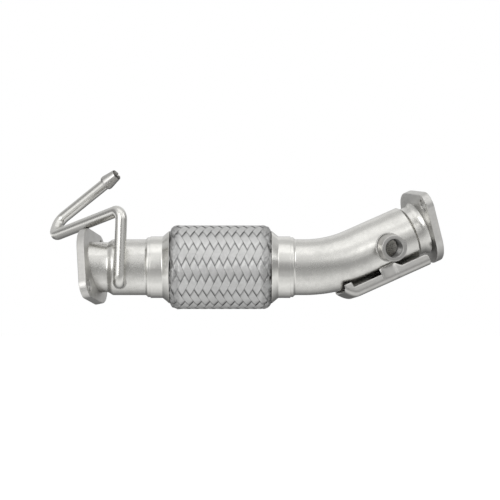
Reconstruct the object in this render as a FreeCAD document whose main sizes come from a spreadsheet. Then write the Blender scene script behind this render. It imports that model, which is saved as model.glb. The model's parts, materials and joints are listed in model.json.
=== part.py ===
import FreeCAD, Part
import math
import os
import Sketcher
from FreeCAD import Placement, Rotation, Vector

# Front exhaust pipe with a braided flex joint, in millimetres.
# +X runs along the inlet pipe, +Z is up, and the origin is the middle of the inlet sealing face.
# An angle round a pipe is counted from +Z towards -Y, seen in that pipe's own frame.

DOCUMENT = FreeCAD.newDocument("exhaust_pipe")

# Driving sizes: name, value, meaning

SIZES = (
    ("pipe_diameter", 54.0, "outside of both pipes"),
    ("pipe_wall", 1.5, "wall of both pipes"),
    ("neck_diameter", 48.3, "outside of the swaged necks in the flanges"),
    ("fit_gap", 0.1, "radial clearance of a tube in its seat"),
    ("butt_gap", 0.3, "end clearance between tubes in one sleeve"),
    ("inlet_neck_length", 18.3, "sealing face to the swage, on the pipe axis"),
    ("inlet_cone_length", 6.4, "length of the inlet swage"),
    ("outlet_neck_length", 18.5, "sealing face to the swage"),
    ("outlet_cone_length", 3.2, "length of the outlet swage"),
    ("flange_thickness", 7.5, "thickness of the flange plates"),
    ("flange_diameter", 74.0, "round middle of the flange"),
    ("flange_bevel", 0.6, "bevel along the flange outline"),
    ("ear_radius", 11.5, "round end of a flange ear"),
    ("bolt_spacing", 88.0, "between the two bolt holes"),
    ("bolt_hole_diameter", 12.0, "clearance hole of a flange bolt"),
    ("pipe_recess", 3.0, "pipe end to sealing face"),
    ("recess_weld_throat", 1.8, "depth of the ring weld in the recess"),
    ("inlet_tilt", 15.7, "degrees between inlet flange and pipe axis"),
    ("inlet_tilt_side", 42.8, "degrees round the pipe to the side that leans"),
    ("inlet_ear_angle", 114.3, "degrees round the pipe to the near ear"),
    ("outlet_ear_angle", 93.4, "degrees round the pipe to the near ear"),
    ("flex_center", 127.65, "sealing face to the middle of the flex joint"),
    ("rim_spacing", 97.9, "between the two flared rims"),
    ("sleeve_wall", 1.8, "wall of an end sleeve"),
    ("collar_wall", 0.8, "wall of a collar"),
    ("collar_length", 11.7, "cylinder of a collar"),
    ("flare_length", 6.8, "flared end of a collar"),
    ("flare_wall", 1.1, "radial wall of the flare"),
    ("flare_rise", 5.4, "flared rim above its collar"),
    ("lip_length", 3.0, "sleeve that stands out of its collar"),
    ("sleeve_weld_length", 1.9, "bead between sleeve and pipe"),
    ("sleeve_reach", 1.0, "rim to the inner end of the sleeve"),
    ("sleeve_overlap", 11.0, "pipe inside its sleeve"),
    ("braid_rise", 5.3, "crowns of the weave above the rims"),
    ("braid_pitch", 7.95, "from band to band along the joint"),
    ("braid_rows", 16, "rows of floats round the joint, even"),
    ("braid_phase", 43.125, "degrees round the joint to the first row"),
    ("braid_offset", -2.5, "middle of the joint to the nearest band tip"),
    ("weave_depth", 1.1, "crown of a float to the gaps"),
    ("float_dip", 0.45, "how far a float sinks at its ends"),
    ("float_end_gap", 0.11, "gap at a float's end, in crossings"),
    ("float_side_gap", 0.07, "gap at a float's side, in crossings"),
    ("braid_wall", 0.9, "wall of the braid under the gaps"),
    ("shoulder_radius", 6.7, "round shoulder of the braid"),
    ("braid_rim_gap", 1.0, "shoulder of the braid to the rim"),
    ("braid_tuck_gap", 1.1, "bore of the rim to the tucked braid"),
    ("pleat_height", 0.3, "ridges of the gathered shoulder"),
    ("braid_end_reach", 5.05, "braid that lies clamped behind the rim"),
    ("bellows_count", 9, "corrugations"),
    ("bellows_pitch", 9.0, "from crest to crest"),
    ("bellows_root_rise", 1.5, "corrugation roots above the cylindrical ends"),
    ("bellows_fold_wall", 1.3, "radial wall of a corrugation"),
    ("bellows_neck_wall", 0.8, "wall of the cylindrical ends"),
    ("bellows_braid_gap", 0.5, "corrugation crests to the braid"),
    ("liner_wall", 1.2, "wall of the inner liner"),
    ("bend_station", 234.4, "sealing face to where the two axes cross"),
    ("bend_angle", 27.4, "degrees that the outlet pipe turns"),
    ("bend_roll", 31.8, "degrees from +Z to the plane of the bend, towards +Y"),
    ("bend_radius", 108.0, "centreline radius of the bend"),
    ("outlet_leg_length", 104.5, "axis crossing to the outlet sealing face"),
    ("boss_diameter", 25.6, "outside of the sensor boss"),
    ("boss_bore_diameter", 16.5, "core of the M18 x 1.5 thread"),
    ("boss_height", 14.5, "boss above the pipe"),
    ("boss_station", 50.5, "boss axis to the outlet sealing face"),
    ("boss_angle", 129.3, "degrees round the outlet pipe"),
    ("boss_bevel", 0.8, "bevel of the boss edges"),
    ("boss_weld_width", 1.8, "bead round the boss"),
    ("boss_weld_height", 1.6, "bead above the pipe wall"),
    ("bracket_length", 89.0, "support bracket along the pipe"),
    ("bracket_station", 15.8, "near end of the bracket to the outlet sealing face"),
    ("bracket_angle", 28.8, "degrees round the outlet pipe to its open side"),
    ("bracket_width", 34.8, "outside of the channel"),
    ("bracket_gap", 7.4, "pipe to the underside of the channel"),
    ("bracket_sheet", 2.0, "sheet of the channel"),
    ("bracket_bend", 4.0, "outer radius of its folds"),
    ("bracket_slant", 8.0, "turned-up far end of the channel"),
    ("near_window_length", 34.3, "low wall from the flange end to the tab"),
    ("near_strip", 8.8, "height of that wall"),
    ("tab_length", 15.8, "tab that reaches up to the pipe"),
    ("tab_slope", 5.6, "slanted flank of the tab towards the flange, at 45 degrees"),
    ("far_window_length", 31.0, "window beyond the tab"),
    ("far_strip", 8.4, "height of the wall under that window"),
    ("bracket_weld_size", 1.6, "beads along the tabs"),
    ("line_diameter", 11.2, "outside of the pressure pipe"),
    ("line_wall", 1.2, "wall of the pressure pipe"),
    ("line_bend_radius", 7.8, "centreline radius of its upright bends"),
    ("line_return_radius", 10.0, "centreline radius of its turn back"),
    ("line_foot_station", 31.3, "sealing face to its foot"),
    ("line_foot_drop", 14.6, "foot below the inlet axis"),
    ("line_foot_reach", 1.6, "foot inside the inlet pipe"),
    ("line_standoff", 2.0, "between pressure pipe and inlet pipe"),
    ("line_crest_lean", 2.4, "foot to its upper corner, along the inlet pipe"),
    ("line_crest_height", 55.4, "upper corner above the inlet axis"),
    ("line_arm_along", -70.3, "arm over the flange, along the inlet pipe"),
    ("line_arm_back", 82.2, "the same arm, away from the near side"),
    ("line_arm_rise", -24.9, "the same arm, upwards"),
    ("line_riser_along", 4.3, "riser behind the flange, along the inlet pipe"),
    ("line_riser_back", 14.0, "the same riser, away from the near side"),
    ("line_riser_rise", 15.0, "the same riser, upwards"),
    ("line_end_along", 58.0, "last run to the tip of the nipple, along the inlet pipe"),
    ("line_end_back", -31.2, "the same run, away from the near side"),
    ("line_end_rise", 44.7, "the same run, upwards"),
    ("line_weld_width", 1.4, "bead round its foot"),
    ("barb_diameter", 14.6, "hose nipple at its shoulder"),
    ("barb_tip_diameter", 11.0, "hose nipple at its tip"),
    ("barb_length", 15.2, "hose nipple"),
    ("barb_socket", 6.0, "pressure pipe inside the nipple"),
)


def fill_sheet():
    """The table of driving sizes, one named cell each."""
    sheet = DOCUMENT.addObject("Spreadsheet::Sheet", "sizes")
    for row, (alias, value, meaning) in enumerate(SIZES, start=1):
        sheet.set(f"A{row}", meaning)
        sheet.set(f"B{row}", str(value))
        sheet.setAlias(f"B{row}", alias)
    DOCUMENT.recompute()
    return sheet


SHEET = fill_sheet()


def size(alias):
    """A driving size as a number."""
    return float(SHEET.get(alias))


def number(expression):
    """The value of an expression over the driving sizes."""
    return float(SHEET.evalExpression(expression))


# Radii and stations that several pieces share, as expressions over the driving sizes

PIPE_R = "sizes.pipe_diameter / 2"
PIPE_BORE_R = "(sizes.pipe_diameter / 2 - sizes.pipe_wall)"
NECK_R = "sizes.neck_diameter / 2"
NECK_BORE_R = "(sizes.neck_diameter / 2 - sizes.pipe_wall)"
SLEEVE_BORE_R = f"({PIPE_R} + sizes.fit_gap)"
SLEEVE_R = f"({SLEEVE_BORE_R} + sizes.sleeve_wall)"
COLLAR_BORE_R = f"({SLEEVE_R} + sizes.fit_gap)"
COLLAR_R = f"({COLLAR_BORE_R} + sizes.collar_wall)"
RIM_R = f"({COLLAR_R} + sizes.flare_rise)"
BRAID_R = f"({RIM_R} + sizes.braid_rise)"
BRACKET_DROP = f"({PIPE_R} + sizes.bracket_gap)"
BELLOWS_NECK_BORE_R = f"({PIPE_R} - sizes.bellows_neck_wall)"
LINER_R = f"({BELLOWS_NECK_BORE_R} - sizes.fit_gap)"
LINE_R = "sizes.line_diameter / 2"
LINE_BORE_R = "(sizes.line_diameter / 2 - sizes.line_wall)"

# Stations outwards from a rim, the same at both ends of the flex joint

COLLAR_END = "(sizes.flare_length + sizes.collar_length)"
SLEEVE_END = f"({COLLAR_END} + sizes.lip_length)"
PIPE_END = f"({SLEEVE_END} - sizes.sleeve_overlap)"
BELLOWS_END = f"({PIPE_END} - sizes.butt_gap)"
HALF_FLEX = "sizes.rim_spacing / 2"
INLET_PIPE_END = f"(sizes.flex_center - {HALF_FLEX} - {PIPE_END})"
OUTLET_PIPE_START = f"(sizes.flex_center + {HALF_FLEX} + {PIPE_END})"
LEG_RUN = "(sizes.outlet_leg_length - sizes.outlet_neck_length - sizes.outlet_cone_length)"

X_AXIS = Vector(1, 0, 0)
Y_AXIS = Vector(0, 1, 0)
Z_AXIS = Vector(0, 0, 1)


# Frames

def around(angle):
    """A turn about the pipe axis, by an angle counted from +Z towards -Y."""
    return Rotation(X_AXIS, angle)


def inlet_frame():
    """At the inlet sealing face: +X into the pipe, +Z to the near ear."""
    lean = around(size("inlet_tilt_side")) * Rotation(Y_AXIS, -size("inlet_tilt"))
    tilt = Rotation(X_AXIS, lean.multVec(X_AXIS))
    return Placement(Vector(0, 0, 0), tilt * around(size("inlet_ear_angle")))


def bend_frame():
    """The outlet pipe's bend lies in this frame's XZ plane."""
    return Placement(Vector(0, 0, 0), around(-size("bend_roll")))


def leg_frame():
    """At the middle of the outlet sealing face: +X out of the pipe."""
    turn = around(-size("bend_roll")) * Rotation(Y_AXIS, -size("bend_angle"))
    corner = Vector(size("bend_station"), 0, 0)
    return Placement(corner + turn.multVec(X_AXIS * size("outlet_leg_length")), turn)


def on_leg(distance, angle):
    """On the outlet axis, so far before the sealing face, with +Z turned to an angle."""
    step = Placement(Vector(-distance, 0, 0), around(angle))
    return leg_frame() * step


def outlet_frame():
    """At the outlet sealing face: +X into the pipe, +Z to the near ear."""
    return on_leg(0, size("outlet_ear_angle")) * Placement(Vector(0, 0, 0), Rotation(Z_AXIS, 180))


def flex_frame():
    """At the middle of the flex joint."""
    return Placement(Vector(size("flex_center"), 0, 0), Rotation())


def inlet_rim_frame():
    """At the inlet rim, with +X away from the flex joint."""
    return Placement(Vector(number(f"sizes.flex_center - {HALF_FLEX}"), 0, 0), Rotation(Z_AXIS, 180))


def outlet_rim_frame():
    """At the outlet rim, with +X away from the flex joint."""
    return Placement(Vector(number(f"sizes.flex_center + {HALF_FLEX}"), 0, 0), Rotation())


# Building blocks

def origin_plane(body, role):
    """One of a body's own base planes."""
    return next(item for item in body.Origin.OriginFeatures if item.Role == role)


def new_sketch(body, name, role):
    """An empty sketch on one of the body's base planes."""
    sketch = body.newObject("Sketcher::SketchObject", name)
    sketch.AttachmentSupport = (origin_plane(body, role), [""])
    sketch.MapMode = "FlatFace"
    return sketch


def bind(sketch, constraint, name, expression):
    """Adds a dimension that follows an expression over the driving sizes."""
    index = sketch.addConstraint(constraint)
    sketch.renameConstraint(index, name)
    sketch.setExpression(f"Constraints.{name}", expression)


def draw_polygon(sketch, outline):
    """A closed outline whose corners each follow a pair of expressions."""
    corners = [Vector(number(along), number(across), 0) for along, across in outline]
    count = len(corners)
    for index, corner in enumerate(corners):
        sketch.addGeometry(Part.LineSegment(corner, corners[(index + 1) % count]), False)
    for index in range(count):
        follower = (index + 1) % count
        sketch.addConstraint(Sketcher.Constraint("Coincident", index, 2, follower, 1))
    for index, (along, across) in enumerate(outline):
        corner = corners[index]
        across_fix = Sketcher.Constraint("DistanceY", -1, 1, index, 1, corner.y)
        bind(sketch, Sketcher.Constraint("DistanceX", -1, 1, index, 1, corner.x), f"along{index}", along)
        bind(sketch, across_fix, f"across{index}", across)


def turned_body(name, outline, placement):
    """A ring or tube turned about its X axis, from corners of (station, radius)."""
    body = DOCUMENT.addObject("PartDesign::Body", name)
    sketch = new_sketch(body, f"{name}_outline", "XZ_Plane")
    draw_polygon(sketch, outline)
    turned = body.newObject("PartDesign::Revolution", f"{name}_turned")
    turned.Profile = sketch
    turned.ReferenceAxis = (sketch, ["H_Axis"])
    turned.Angle = 360
    sketch.Visibility = False
    body.Placement = placement
    return body


def rod(name, radius, length, placement):
    """A cylinder along its frame's +X axis, with its size as expressions."""
    cylinder = DOCUMENT.addObject("Part::Cylinder", name)
    cylinder.setExpression("Radius", radius)
    cylinder.setExpression("Height", length)
    cylinder.Placement = placement * Placement(Vector(0, 0, 0), Rotation(Y_AXIS, 90))
    return cylinder


def block(name, lengths, placement):
    """A box from its frame's origin, with its three sides as expressions."""
    box = DOCUMENT.addObject("Part::Box", name)
    for side, length in zip(("Length", "Width", "Height"), lengths):
        box.setExpression(side, length)
    box.Placement = placement
    return box


def cut(name, base, *tools):
    """The base with every tool taken out of it."""
    result = base
    for index, tool in enumerate(tools, start=1):
        last = index == len(tools)
        step = DOCUMENT.addObject("Part::Cut", name if last else f"{name}_cut{index}")
        step.Base = result
        step.Tool = tool
        result = step
    return result


def common(name, first, second):
    """What two shapes share."""
    shared = DOCUMENT.addObject("Part::MultiCommon", name)
    shared.Shapes = [first, second]
    return shared


def fuse(name, shapes):
    """Several shapes as one."""
    joined = DOCUMENT.addObject("Part::MultiFuse", name)
    joined.Shapes = shapes
    return joined


# Flanges

def draw_flange_outline(sketch):
    """A round middle and two ears along the sketch's Y axis, joined by tangent lines."""
    middle = size("flange_diameter") / 2
    ear = size("ear_radius")
    reach = size("bolt_spacing") / 2
    flank = math.asin((middle - ear) / reach)
    normal = Vector(0, 0, 1)

    def arc(height, radius, start, end):
        circle = Part.Circle(Vector(0, height, 0), normal, radius)
        return Part.ArcOfCircle(circle, start, end)

    def at(height, radius, angle):
        return Vector(radius * math.cos(angle), height + radius * math.sin(angle), 0)

    right = arc(0, middle, -flank, flank)
    top = arc(reach, ear, flank, math.pi - flank)
    left = arc(0, middle, math.pi - flank, math.pi + flank)
    bottom = arc(-reach, ear, math.pi + flank, 2 * math.pi - flank)
    sketch.addGeometry([right, top, left, bottom], False)
    joints = ((0, flank, 1), (1, math.pi - flank, 2), (2, math.pi + flank, 3), (3, -flank, 0))
    places = ((0, middle), (reach, ear), (0, middle), (-reach, ear))
    for start, angle, end in joints:
        line = Part.LineSegment(at(*places[start], angle), at(*places[end], angle))
        index = sketch.addGeometry(line, False)
        sketch.addConstraint(Sketcher.Constraint("Tangent", start, 2, index, 1))
        sketch.addConstraint(Sketcher.Constraint("Tangent", index, 2, end, 1))
    sketch.addConstraint(Sketcher.Constraint("Coincident", 0, 3, -1, 1))
    sketch.addConstraint(Sketcher.Constraint("Coincident", 2, 3, -1, 1))
    sketch.addConstraint(Sketcher.Constraint("PointOnObject", 1, 3, -2))
    sketch.addConstraint(Sketcher.Constraint("PointOnObject", 3, 3, -2))
    bind(sketch, Sketcher.Constraint("Radius", 0, middle), "middle", "sizes.flange_diameter / 2")
    bind(sketch, Sketcher.Constraint("Radius", 1, ear), "ear", "sizes.ear_radius")
    sketch.addConstraint(Sketcher.Constraint("Equal", 1, 3))
    half = Sketcher.Constraint("DistanceY", -1, 1, 1, 3, reach)
    bind(sketch, half, "upper", "sizes.bolt_spacing / 2")
    other_half = Sketcher.Constraint("DistanceY", 3, 3, -1, 1, reach)
    bind(sketch, other_half, "lower", "sizes.bolt_spacing / 2")


def draw_bolt_holes(sketch):
    """One clearance hole in each ear."""
    reach = size("bolt_spacing") / 2
    radius = size("bolt_hole_diameter") / 2
    for index, height in enumerate((reach, -reach)):
        sketch.addGeometry(Part.Circle(Vector(0, height, 0), Vector(0, 0, 1), radius), False)
        sketch.addConstraint(Sketcher.Constraint("PointOnObject", index, 3, -2))
        hole = Sketcher.Constraint("Radius", index, radius)
        bind(sketch, hole, f"hole{index}", "sizes.bolt_hole_diameter / 2")
    bind(sketch, Sketcher.Constraint("DistanceY", -1, 1, 0, 3, reach), "upper", "sizes.bolt_spacing / 2")
    bind(sketch, Sketcher.Constraint("DistanceY", 1, 3, -1, 1, reach), "lower", "sizes.bolt_spacing / 2")


def flange_plate(name, placement):
    """The plate of a two-bolt flange with its bolt holes, still without its bore."""
    body = DOCUMENT.addObject("PartDesign::Body", name)
    outline = new_sketch(body, f"{name}_outline", "YZ_Plane")
    draw_flange_outline(outline)
    plate = body.newObject("PartDesign::Pad", f"{name}_plate")
    plate.Profile = outline
    plate.setExpression("Length", "sizes.flange_thickness")
    DOCUMENT.recompute()
    faces = [index for index, face in enumerate(plate.Shape.Faces, 1) if abs(face.normalAt(0, 0).x) > 0.9]
    bevel = body.newObject("PartDesign::Chamfer", f"{name}_bevel")
    bevel.Base = (plate, [f"Face{index}" for index in faces])
    bevel.setExpression("Size", "sizes.flange_bevel")
    DOCUMENT.recompute()
    holes = new_sketch(body, f"{name}_holes", "YZ_Plane")
    draw_bolt_holes(holes)
    drilled = body.newObject("PartDesign::Pocket", f"{name}_drilled")
    drilled.Profile = holes
    drilled.Type = "ThroughAll"
    drilled.Midplane = True
    body.Placement = placement
    return body


def make_flange(name, frame, bore_frame):
    """A flange plate bored along the pipe that passes through it."""
    plate = flange_plate(f"{name}_blank", frame)
    radius = f"{NECK_R} + sizes.fit_gap"
    start = bore_frame * Placement(Vector(-2 * size("neck_diameter"), 0, 0), Rotation())
    bore = rod(f"{name}_bore", radius, "sizes.neck_diameter * 4", start)
    return cut(name, plate, bore)


def recess_slab(name, frame, near, depth):
    """A slab parallel to a sealing face, from a distance behind it, as wide as the flange."""
    wide = "sizes.flange_diameter * 2"
    corner = Vector(number(near), -size("flange_diameter"), -size("flange_diameter"))
    return block(name, (depth, wide, wide), frame * Placement(corner, Rotation()))


def make_recess_weld(name, frame, bore_frame):
    """The ring weld between pipe end and flange, in front of the pipe end."""
    length = "sizes.neck_diameter * 2"
    start = bore_frame * Placement(Vector(-size("neck_diameter"), 0, 0), Rotation())
    outer = rod(f"{name}_outside", f"{NECK_R}", length, start)
    inner = rod(f"{name}_inside", f"{NECK_BORE_R}", length, start)
    slab = recess_slab(f"{name}_slab", frame, "sizes.pipe_recess - sizes.recess_weld_throat",
                       "sizes.recess_weld_throat")
    return cut(name, common(f"{name}_disc", slab, outer), inner)


# Inlet pipe

def make_inlet_pipe():
    """The stub pipe: swaged to its neck, ended parallel to the oblique flange, and drilled."""
    start = "-sizes.neck_diameter / 2"
    neck = "sizes.inlet_neck_length"
    shoulder = "(sizes.inlet_neck_length + sizes.inlet_cone_length)"
    outline = (
        (start, NECK_BORE_R), (neck, NECK_BORE_R), (shoulder, PIPE_BORE_R), (INLET_PIPE_END, PIPE_BORE_R),
        (INLET_PIPE_END, PIPE_R), (shoulder, PIPE_R), (neck, NECK_R), (start, NECK_R),
    )
    blank = turned_body("inlet_pipe_blank", outline, Placement())
    trim = recess_slab("inlet_pipe_trim", inlet_frame(), "sizes.pipe_recess - sizes.flange_diameter",
                       "sizes.flange_diameter")
    drill = rod("inlet_pipe_drill", f"{LINE_R} + sizes.fit_gap", PIPE_R, line_foot_frame())
    return cut("inlet_pipe", blank, trim, drill)


# Both ends of the flex joint

def make_sleeve(name, frame):
    """The end sleeve that the pipe slides into."""
    outline = (
        ("sizes.sleeve_reach", SLEEVE_BORE_R), (SLEEVE_END, SLEEVE_BORE_R),
        (SLEEVE_END, SLEEVE_R), ("sizes.sleeve_reach", SLEEVE_R),
    )
    return turned_body(name, outline, frame)


def make_sleeve_weld(name, frame):
    """The fillet bead between the sleeve's end face and the pipe."""
    toe = f"({SLEEVE_END} + sizes.sleeve_weld_length)"
    outline = (
        (SLEEVE_END, PIPE_R), (toe, PIPE_R), (SLEEVE_END, SLEEVE_R),
    )
    return turned_body(name, outline, frame)


def make_collar(name, frame):
    """The pressed collar, flared open towards the braid that it clamps."""
    flare_bore = f"({RIM_R} - sizes.flare_wall)"
    outline = (
        ("0", flare_bore), ("sizes.flare_length", COLLAR_BORE_R), (COLLAR_END, COLLAR_BORE_R),
        (COLLAR_END, COLLAR_R), ("sizes.flare_length", COLLAR_R), ("0", RIM_R),
    )
    return turned_body(name, outline, frame)


# Inside the flex joint

def make_bellows():
    """The gas-tight corrugated tube, with a cylindrical neck in each sleeve."""
    count = int(size("bellows_count"))
    end = f"({HALF_FLEX} + {BELLOWS_END})"
    first = "(sizes.bellows_count * sizes.bellows_pitch / 2)"
    crest = f"({BRAID_R} - sizes.weave_depth - sizes.braid_wall - sizes.bellows_braid_gap)"
    root = f"({PIPE_R} + sizes.bellows_root_rise)"
    outside = [(f"-{end}", PIPE_R), (f"-{first}", PIPE_R)]
    inside = [(f"-{end}", BELLOWS_NECK_BORE_R)]
    inside.append((f"-{first} + sizes.bellows_neck_wall", BELLOWS_NECK_BORE_R))
    for fold in range(count):
        peak = f"({fold} + 0.5) * sizes.bellows_pitch - {first}"
        outside.append((peak, crest))
        inside.append((peak, f"{crest} - sizes.bellows_fold_wall"))
        if fold < count - 1:
            valley = f"({fold} + 1) * sizes.bellows_pitch - {first}"
            outside.append((valley, root))
            inside.append((valley, f"{root} - sizes.bellows_fold_wall"))
    outside += [(first, PIPE_R), (end, PIPE_R)]
    inside += [(f"{first} - sizes.bellows_neck_wall", BELLOWS_NECK_BORE_R), (end, BELLOWS_NECK_BORE_R)]
    return turned_body("flex_bellows", inside + outside[::-1], flex_frame())


def make_liner():
    """The inner liner hose, seated in the necks of the bellows."""
    end = f"({HALF_FLEX} + {BELLOWS_END})"
    bore = f"({LINER_R} - sizes.liner_wall)"
    outline = (
        (f"-{end}", bore), (end, bore), (end, LINER_R), (f"-{end}", LINER_R),
    )
    return turned_body("flex_liner", outline, flex_frame())


# Braid

SHOULDER_ANGLES = (30, 53, 70)


class Braid:
    """The woven sleeve as one closed wall, with every float a ridge and gaps between them.

    The weave is laid out on a lattice of crossings. Counting along the joint goes in halves
    of the pitch, and counting round it in halves of a row. Two rows of one slope are followed
    by two of the other, and each float spans two crossings.
    """

    def __init__(self):
        self.points = []
        self.index = {}
        self.facets = []
        self.columns = 2 * int(size("braid_rows"))
        self.crown = number(BRAID_R)
        self.gap_floor = self.crown - size("weave_depth")
        self.bore = self.gap_floor - size("braid_wall")
        self.half = size("rim_spacing") / 2
        self.step = size("braid_pitch") / 2
        self.edge = self.half - size("braid_rim_gap") - size("shoulder_radius")
        self.first = math.ceil((-self.edge - size("braid_offset")) / self.step)
        self.last = math.floor((self.edge - size("braid_offset")) / self.step)

    def point(self, station, turn, radius):
        """The number of a point, made once and shared by its facets."""
        turn = turn % self.columns
        key = (round(station, 5), round(turn, 5), round(radius, 5))
        if key not in self.index:
            angle = math.radians(size("braid_phase") + turn * 360 / self.columns)
            place = Vector(station, -radius * math.sin(angle), radius * math.cos(angle))
            self.index[key] = len(self.points)
            self.points.append(place)
        return self.index[key]

    def knot(self, along, turn, radius):
        """A point of the lattice."""
        return self.point(along * self.step + size("braid_offset"), turn, radius)

    def quad(self, first, second, third, fourth):
        """Two facets, split between the first and the third corner."""
        self.facets.append((first, second, third))
        self.facets.append((first, third, fourth))

    def covered(self, along):
        """Whether a crossing lies on the straight part of the braid."""
        return self.first < along < self.last

    def add_float(self, along, turn, slope):
        """A float over two crossings, or over the one that the shoulder leaves of it."""
        spans = [span for span in (0, 1) if self.covered(along + span * slope)]
        if not spans:
            return
        end_gap = size("float_end_gap")
        side_gap = size("float_side_gap")
        low = self.crown - size("float_dip")

        def place(run, side, radius):
            return self.knot(along + slope * (run + side - 1), turn + run - side, radius)

        runs = [spans[0], spans[0] + 1] if len(spans) == 1 else [0, 1, 2]
        tops = [self.crown if run == 1 and len(spans) == 2 else low for run in runs]
        shrunk = list(runs)
        shrunk[0] += end_gap
        shrunk[-1] -= end_gap
        near = [place(run, side_gap, top) for run, top in zip(shrunk, tops)]
        far = [place(run, 1 - side_gap, top) for run, top in zip(shrunk, tops)]
        near_floor = [place(run, 0, self.gap_floor) for run in runs]
        far_floor = [place(run, 1, self.gap_floor) for run in runs]
        quads = []
        for left in range(len(runs) - 1):
            right = left + 1
            quads.append((near[left], near[right], far[right], far[left]))
            quads.append((near_floor[left], near_floor[right], near[right], near[left]))
            quads.append((far[left], far[right], far_floor[right], far_floor[left]))
        quads.append((far_floor[0], near_floor[0], near[0], far[0]))
        quads.append((near_floor[-1], far_floor[-1], far[-1], near[-1]))
        for corners in quads:
            self.quad(*(corners if slope > 0 else (corners[1], corners[0], corners[3], corners[2])))

    def ring(self, station, radius, pleat=0.0):
        """Points round the joint, with every second pair raised by the pleat."""
        rises = [pleat if turn % 4 < 2 else 0.0 for turn in range(self.columns)]
        return [self.point(station, turn, radius + rise) for turn, rise in enumerate(rises)]

    def join(self, first, second):
        """A band of facets between two rings, the second further along."""
        for turn in range(self.columns):
            after = (turn + 1) % self.columns
            self.quad(first[turn], second[turn], second[after], first[after])

    def weave_edge(self, along, inward):
        """The zigzag of lattice points where the straight weave ends."""
        ends = [along if (along + turn) % 2 else along + inward for turn in range(self.columns)]
        return [self.knot(place, turn, self.gap_floor) for turn, place in enumerate(ends)]

    def shoulder(self, side):
        """Rings from the rounded shoulder to the clamped end, and back along the inside."""
        radius = size("shoulder_radius")
        center = self.crown - radius
        pleat = size("pleat_height")
        wall = size("braid_wall")
        clamp_bore = (number(SLEEVE_R) + size("fit_gap")) / math.cos(math.pi / self.columns)
        tuck = number(RIM_R) - size("flare_wall") - size("braid_tuck_gap")
        end = side * (self.half + size("braid_end_reach"))
        rings = []
        for angle in SHOULDER_ANGLES:
            station = side * (self.edge + radius * math.sin(math.radians(angle)))
            height = center + radius * math.cos(math.radians(angle)) - pleat / 2
            rings.append(self.ring(station, height, pleat))
        rings.append(self.ring(side * (self.half + wall / 2), tuck))
        rings.append(self.ring(end, clamp_bore + wall))
        rings.append(self.ring(end, clamp_bore))
        rings.append(self.ring(side * (self.half + wall / 2), tuck - 2 * wall))
        rings.append(self.ring(side * (self.edge + radius / 2), self.bore - radius / 4))
        rings.append(self.ring(side * (self.edge - wall), self.bore))
        return rings

    def shape(self):
        """The closed wall."""
        for turn in range(0, self.columns, 4):
            for along in range(self.first - 1, self.last + 2):
                if (along + turn) % 2 == 0:
                    self.add_float(along, turn, 1)
                    self.add_float(along, turn + 2, -1)
        left = [self.weave_edge(self.first, 1)] + self.shoulder(-1)
        right = [self.weave_edge(self.last, -1)] + self.shoulder(1)
        for outer, inner in zip(left, left[1:]):
            self.join(inner, outer)
        for inner, outer in zip(right, right[1:]):
            self.join(inner, outer)
        self.join(right[-1], left[-1])
        wall = Part.Shape()
        wall.makeShapeFromMesh((self.points, self.facets), 0.001, True)
        solid = Part.makeSolid(Part.Shell(wall.Faces))
        if solid.Volume < 0:
            solid.reverse()
        return solid


def make_braid():
    """The outer braid."""
    braid = DOCUMENT.addObject("Part::Feature", "flex_braid")
    braid.Shape = Braid().shape()
    braid.Placement = flex_frame()
    return braid


# Outlet pipe

def draw_bend_path(sketch):
    """Straight, arc and straight, in the plane of the bend."""
    angle = math.radians(size("bend_angle"))
    radius = size("bend_radius")
    tangent = radius * math.tan(angle / 2)
    start = number(OUTLET_PIPE_START)
    corner = size("bend_station")
    run = number(LEG_RUN)
    bend_start = Vector(corner - tangent, 0, 0)
    bend_end = Vector(corner + tangent * math.cos(angle), tangent * math.sin(angle), 0)
    end = Vector(corner + run * math.cos(angle), run * math.sin(angle), 0)
    circle = Part.Circle(Vector(corner - tangent, radius, 0), Vector(0, 0, 1), radius)
    arc = Part.ArcOfCircle(circle, -math.pi / 2, -math.pi / 2 + angle)
    sketch.addGeometry(Part.LineSegment(Vector(start, 0, 0), bend_start), False)
    sketch.addGeometry(arc, False)
    sketch.addGeometry(Part.LineSegment(bend_end, end), False)
    sketch.addConstraint(Sketcher.Constraint("Tangent", 0, 2, 1, 1))
    sketch.addConstraint(Sketcher.Constraint("Tangent", 1, 2, 2, 1))
    sketch.addConstraint(Sketcher.Constraint("PointOnObject", 0, 1, -1))
    sketch.addConstraint(Sketcher.Constraint("Horizontal", 0))
    tangent_text = "sizes.bend_radius * tan(sizes.bend_angle * 1 deg / 2)"
    run_text = f"{LEG_RUN} - {tangent_text}"
    bind(sketch, Sketcher.Constraint("DistanceX", -1, 1, 0, 1, start), "start", OUTLET_PIPE_START)
    straight = f"sizes.bend_station - {tangent_text} - {OUTLET_PIPE_START}"
    bind(sketch, Sketcher.Constraint("Distance", 0, corner - tangent - start), "straight", straight)
    bind(sketch, Sketcher.Constraint("Radius", 1, radius), "bend", "sizes.bend_radius")
    bind(sketch, Sketcher.Constraint("Distance", 2, run - tangent), "leg", run_text)
    turn = Sketcher.Constraint("Angle", 0, 2, angle)
    bind(sketch, turn, "turn", "sizes.bend_angle * 1 deg")


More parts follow.
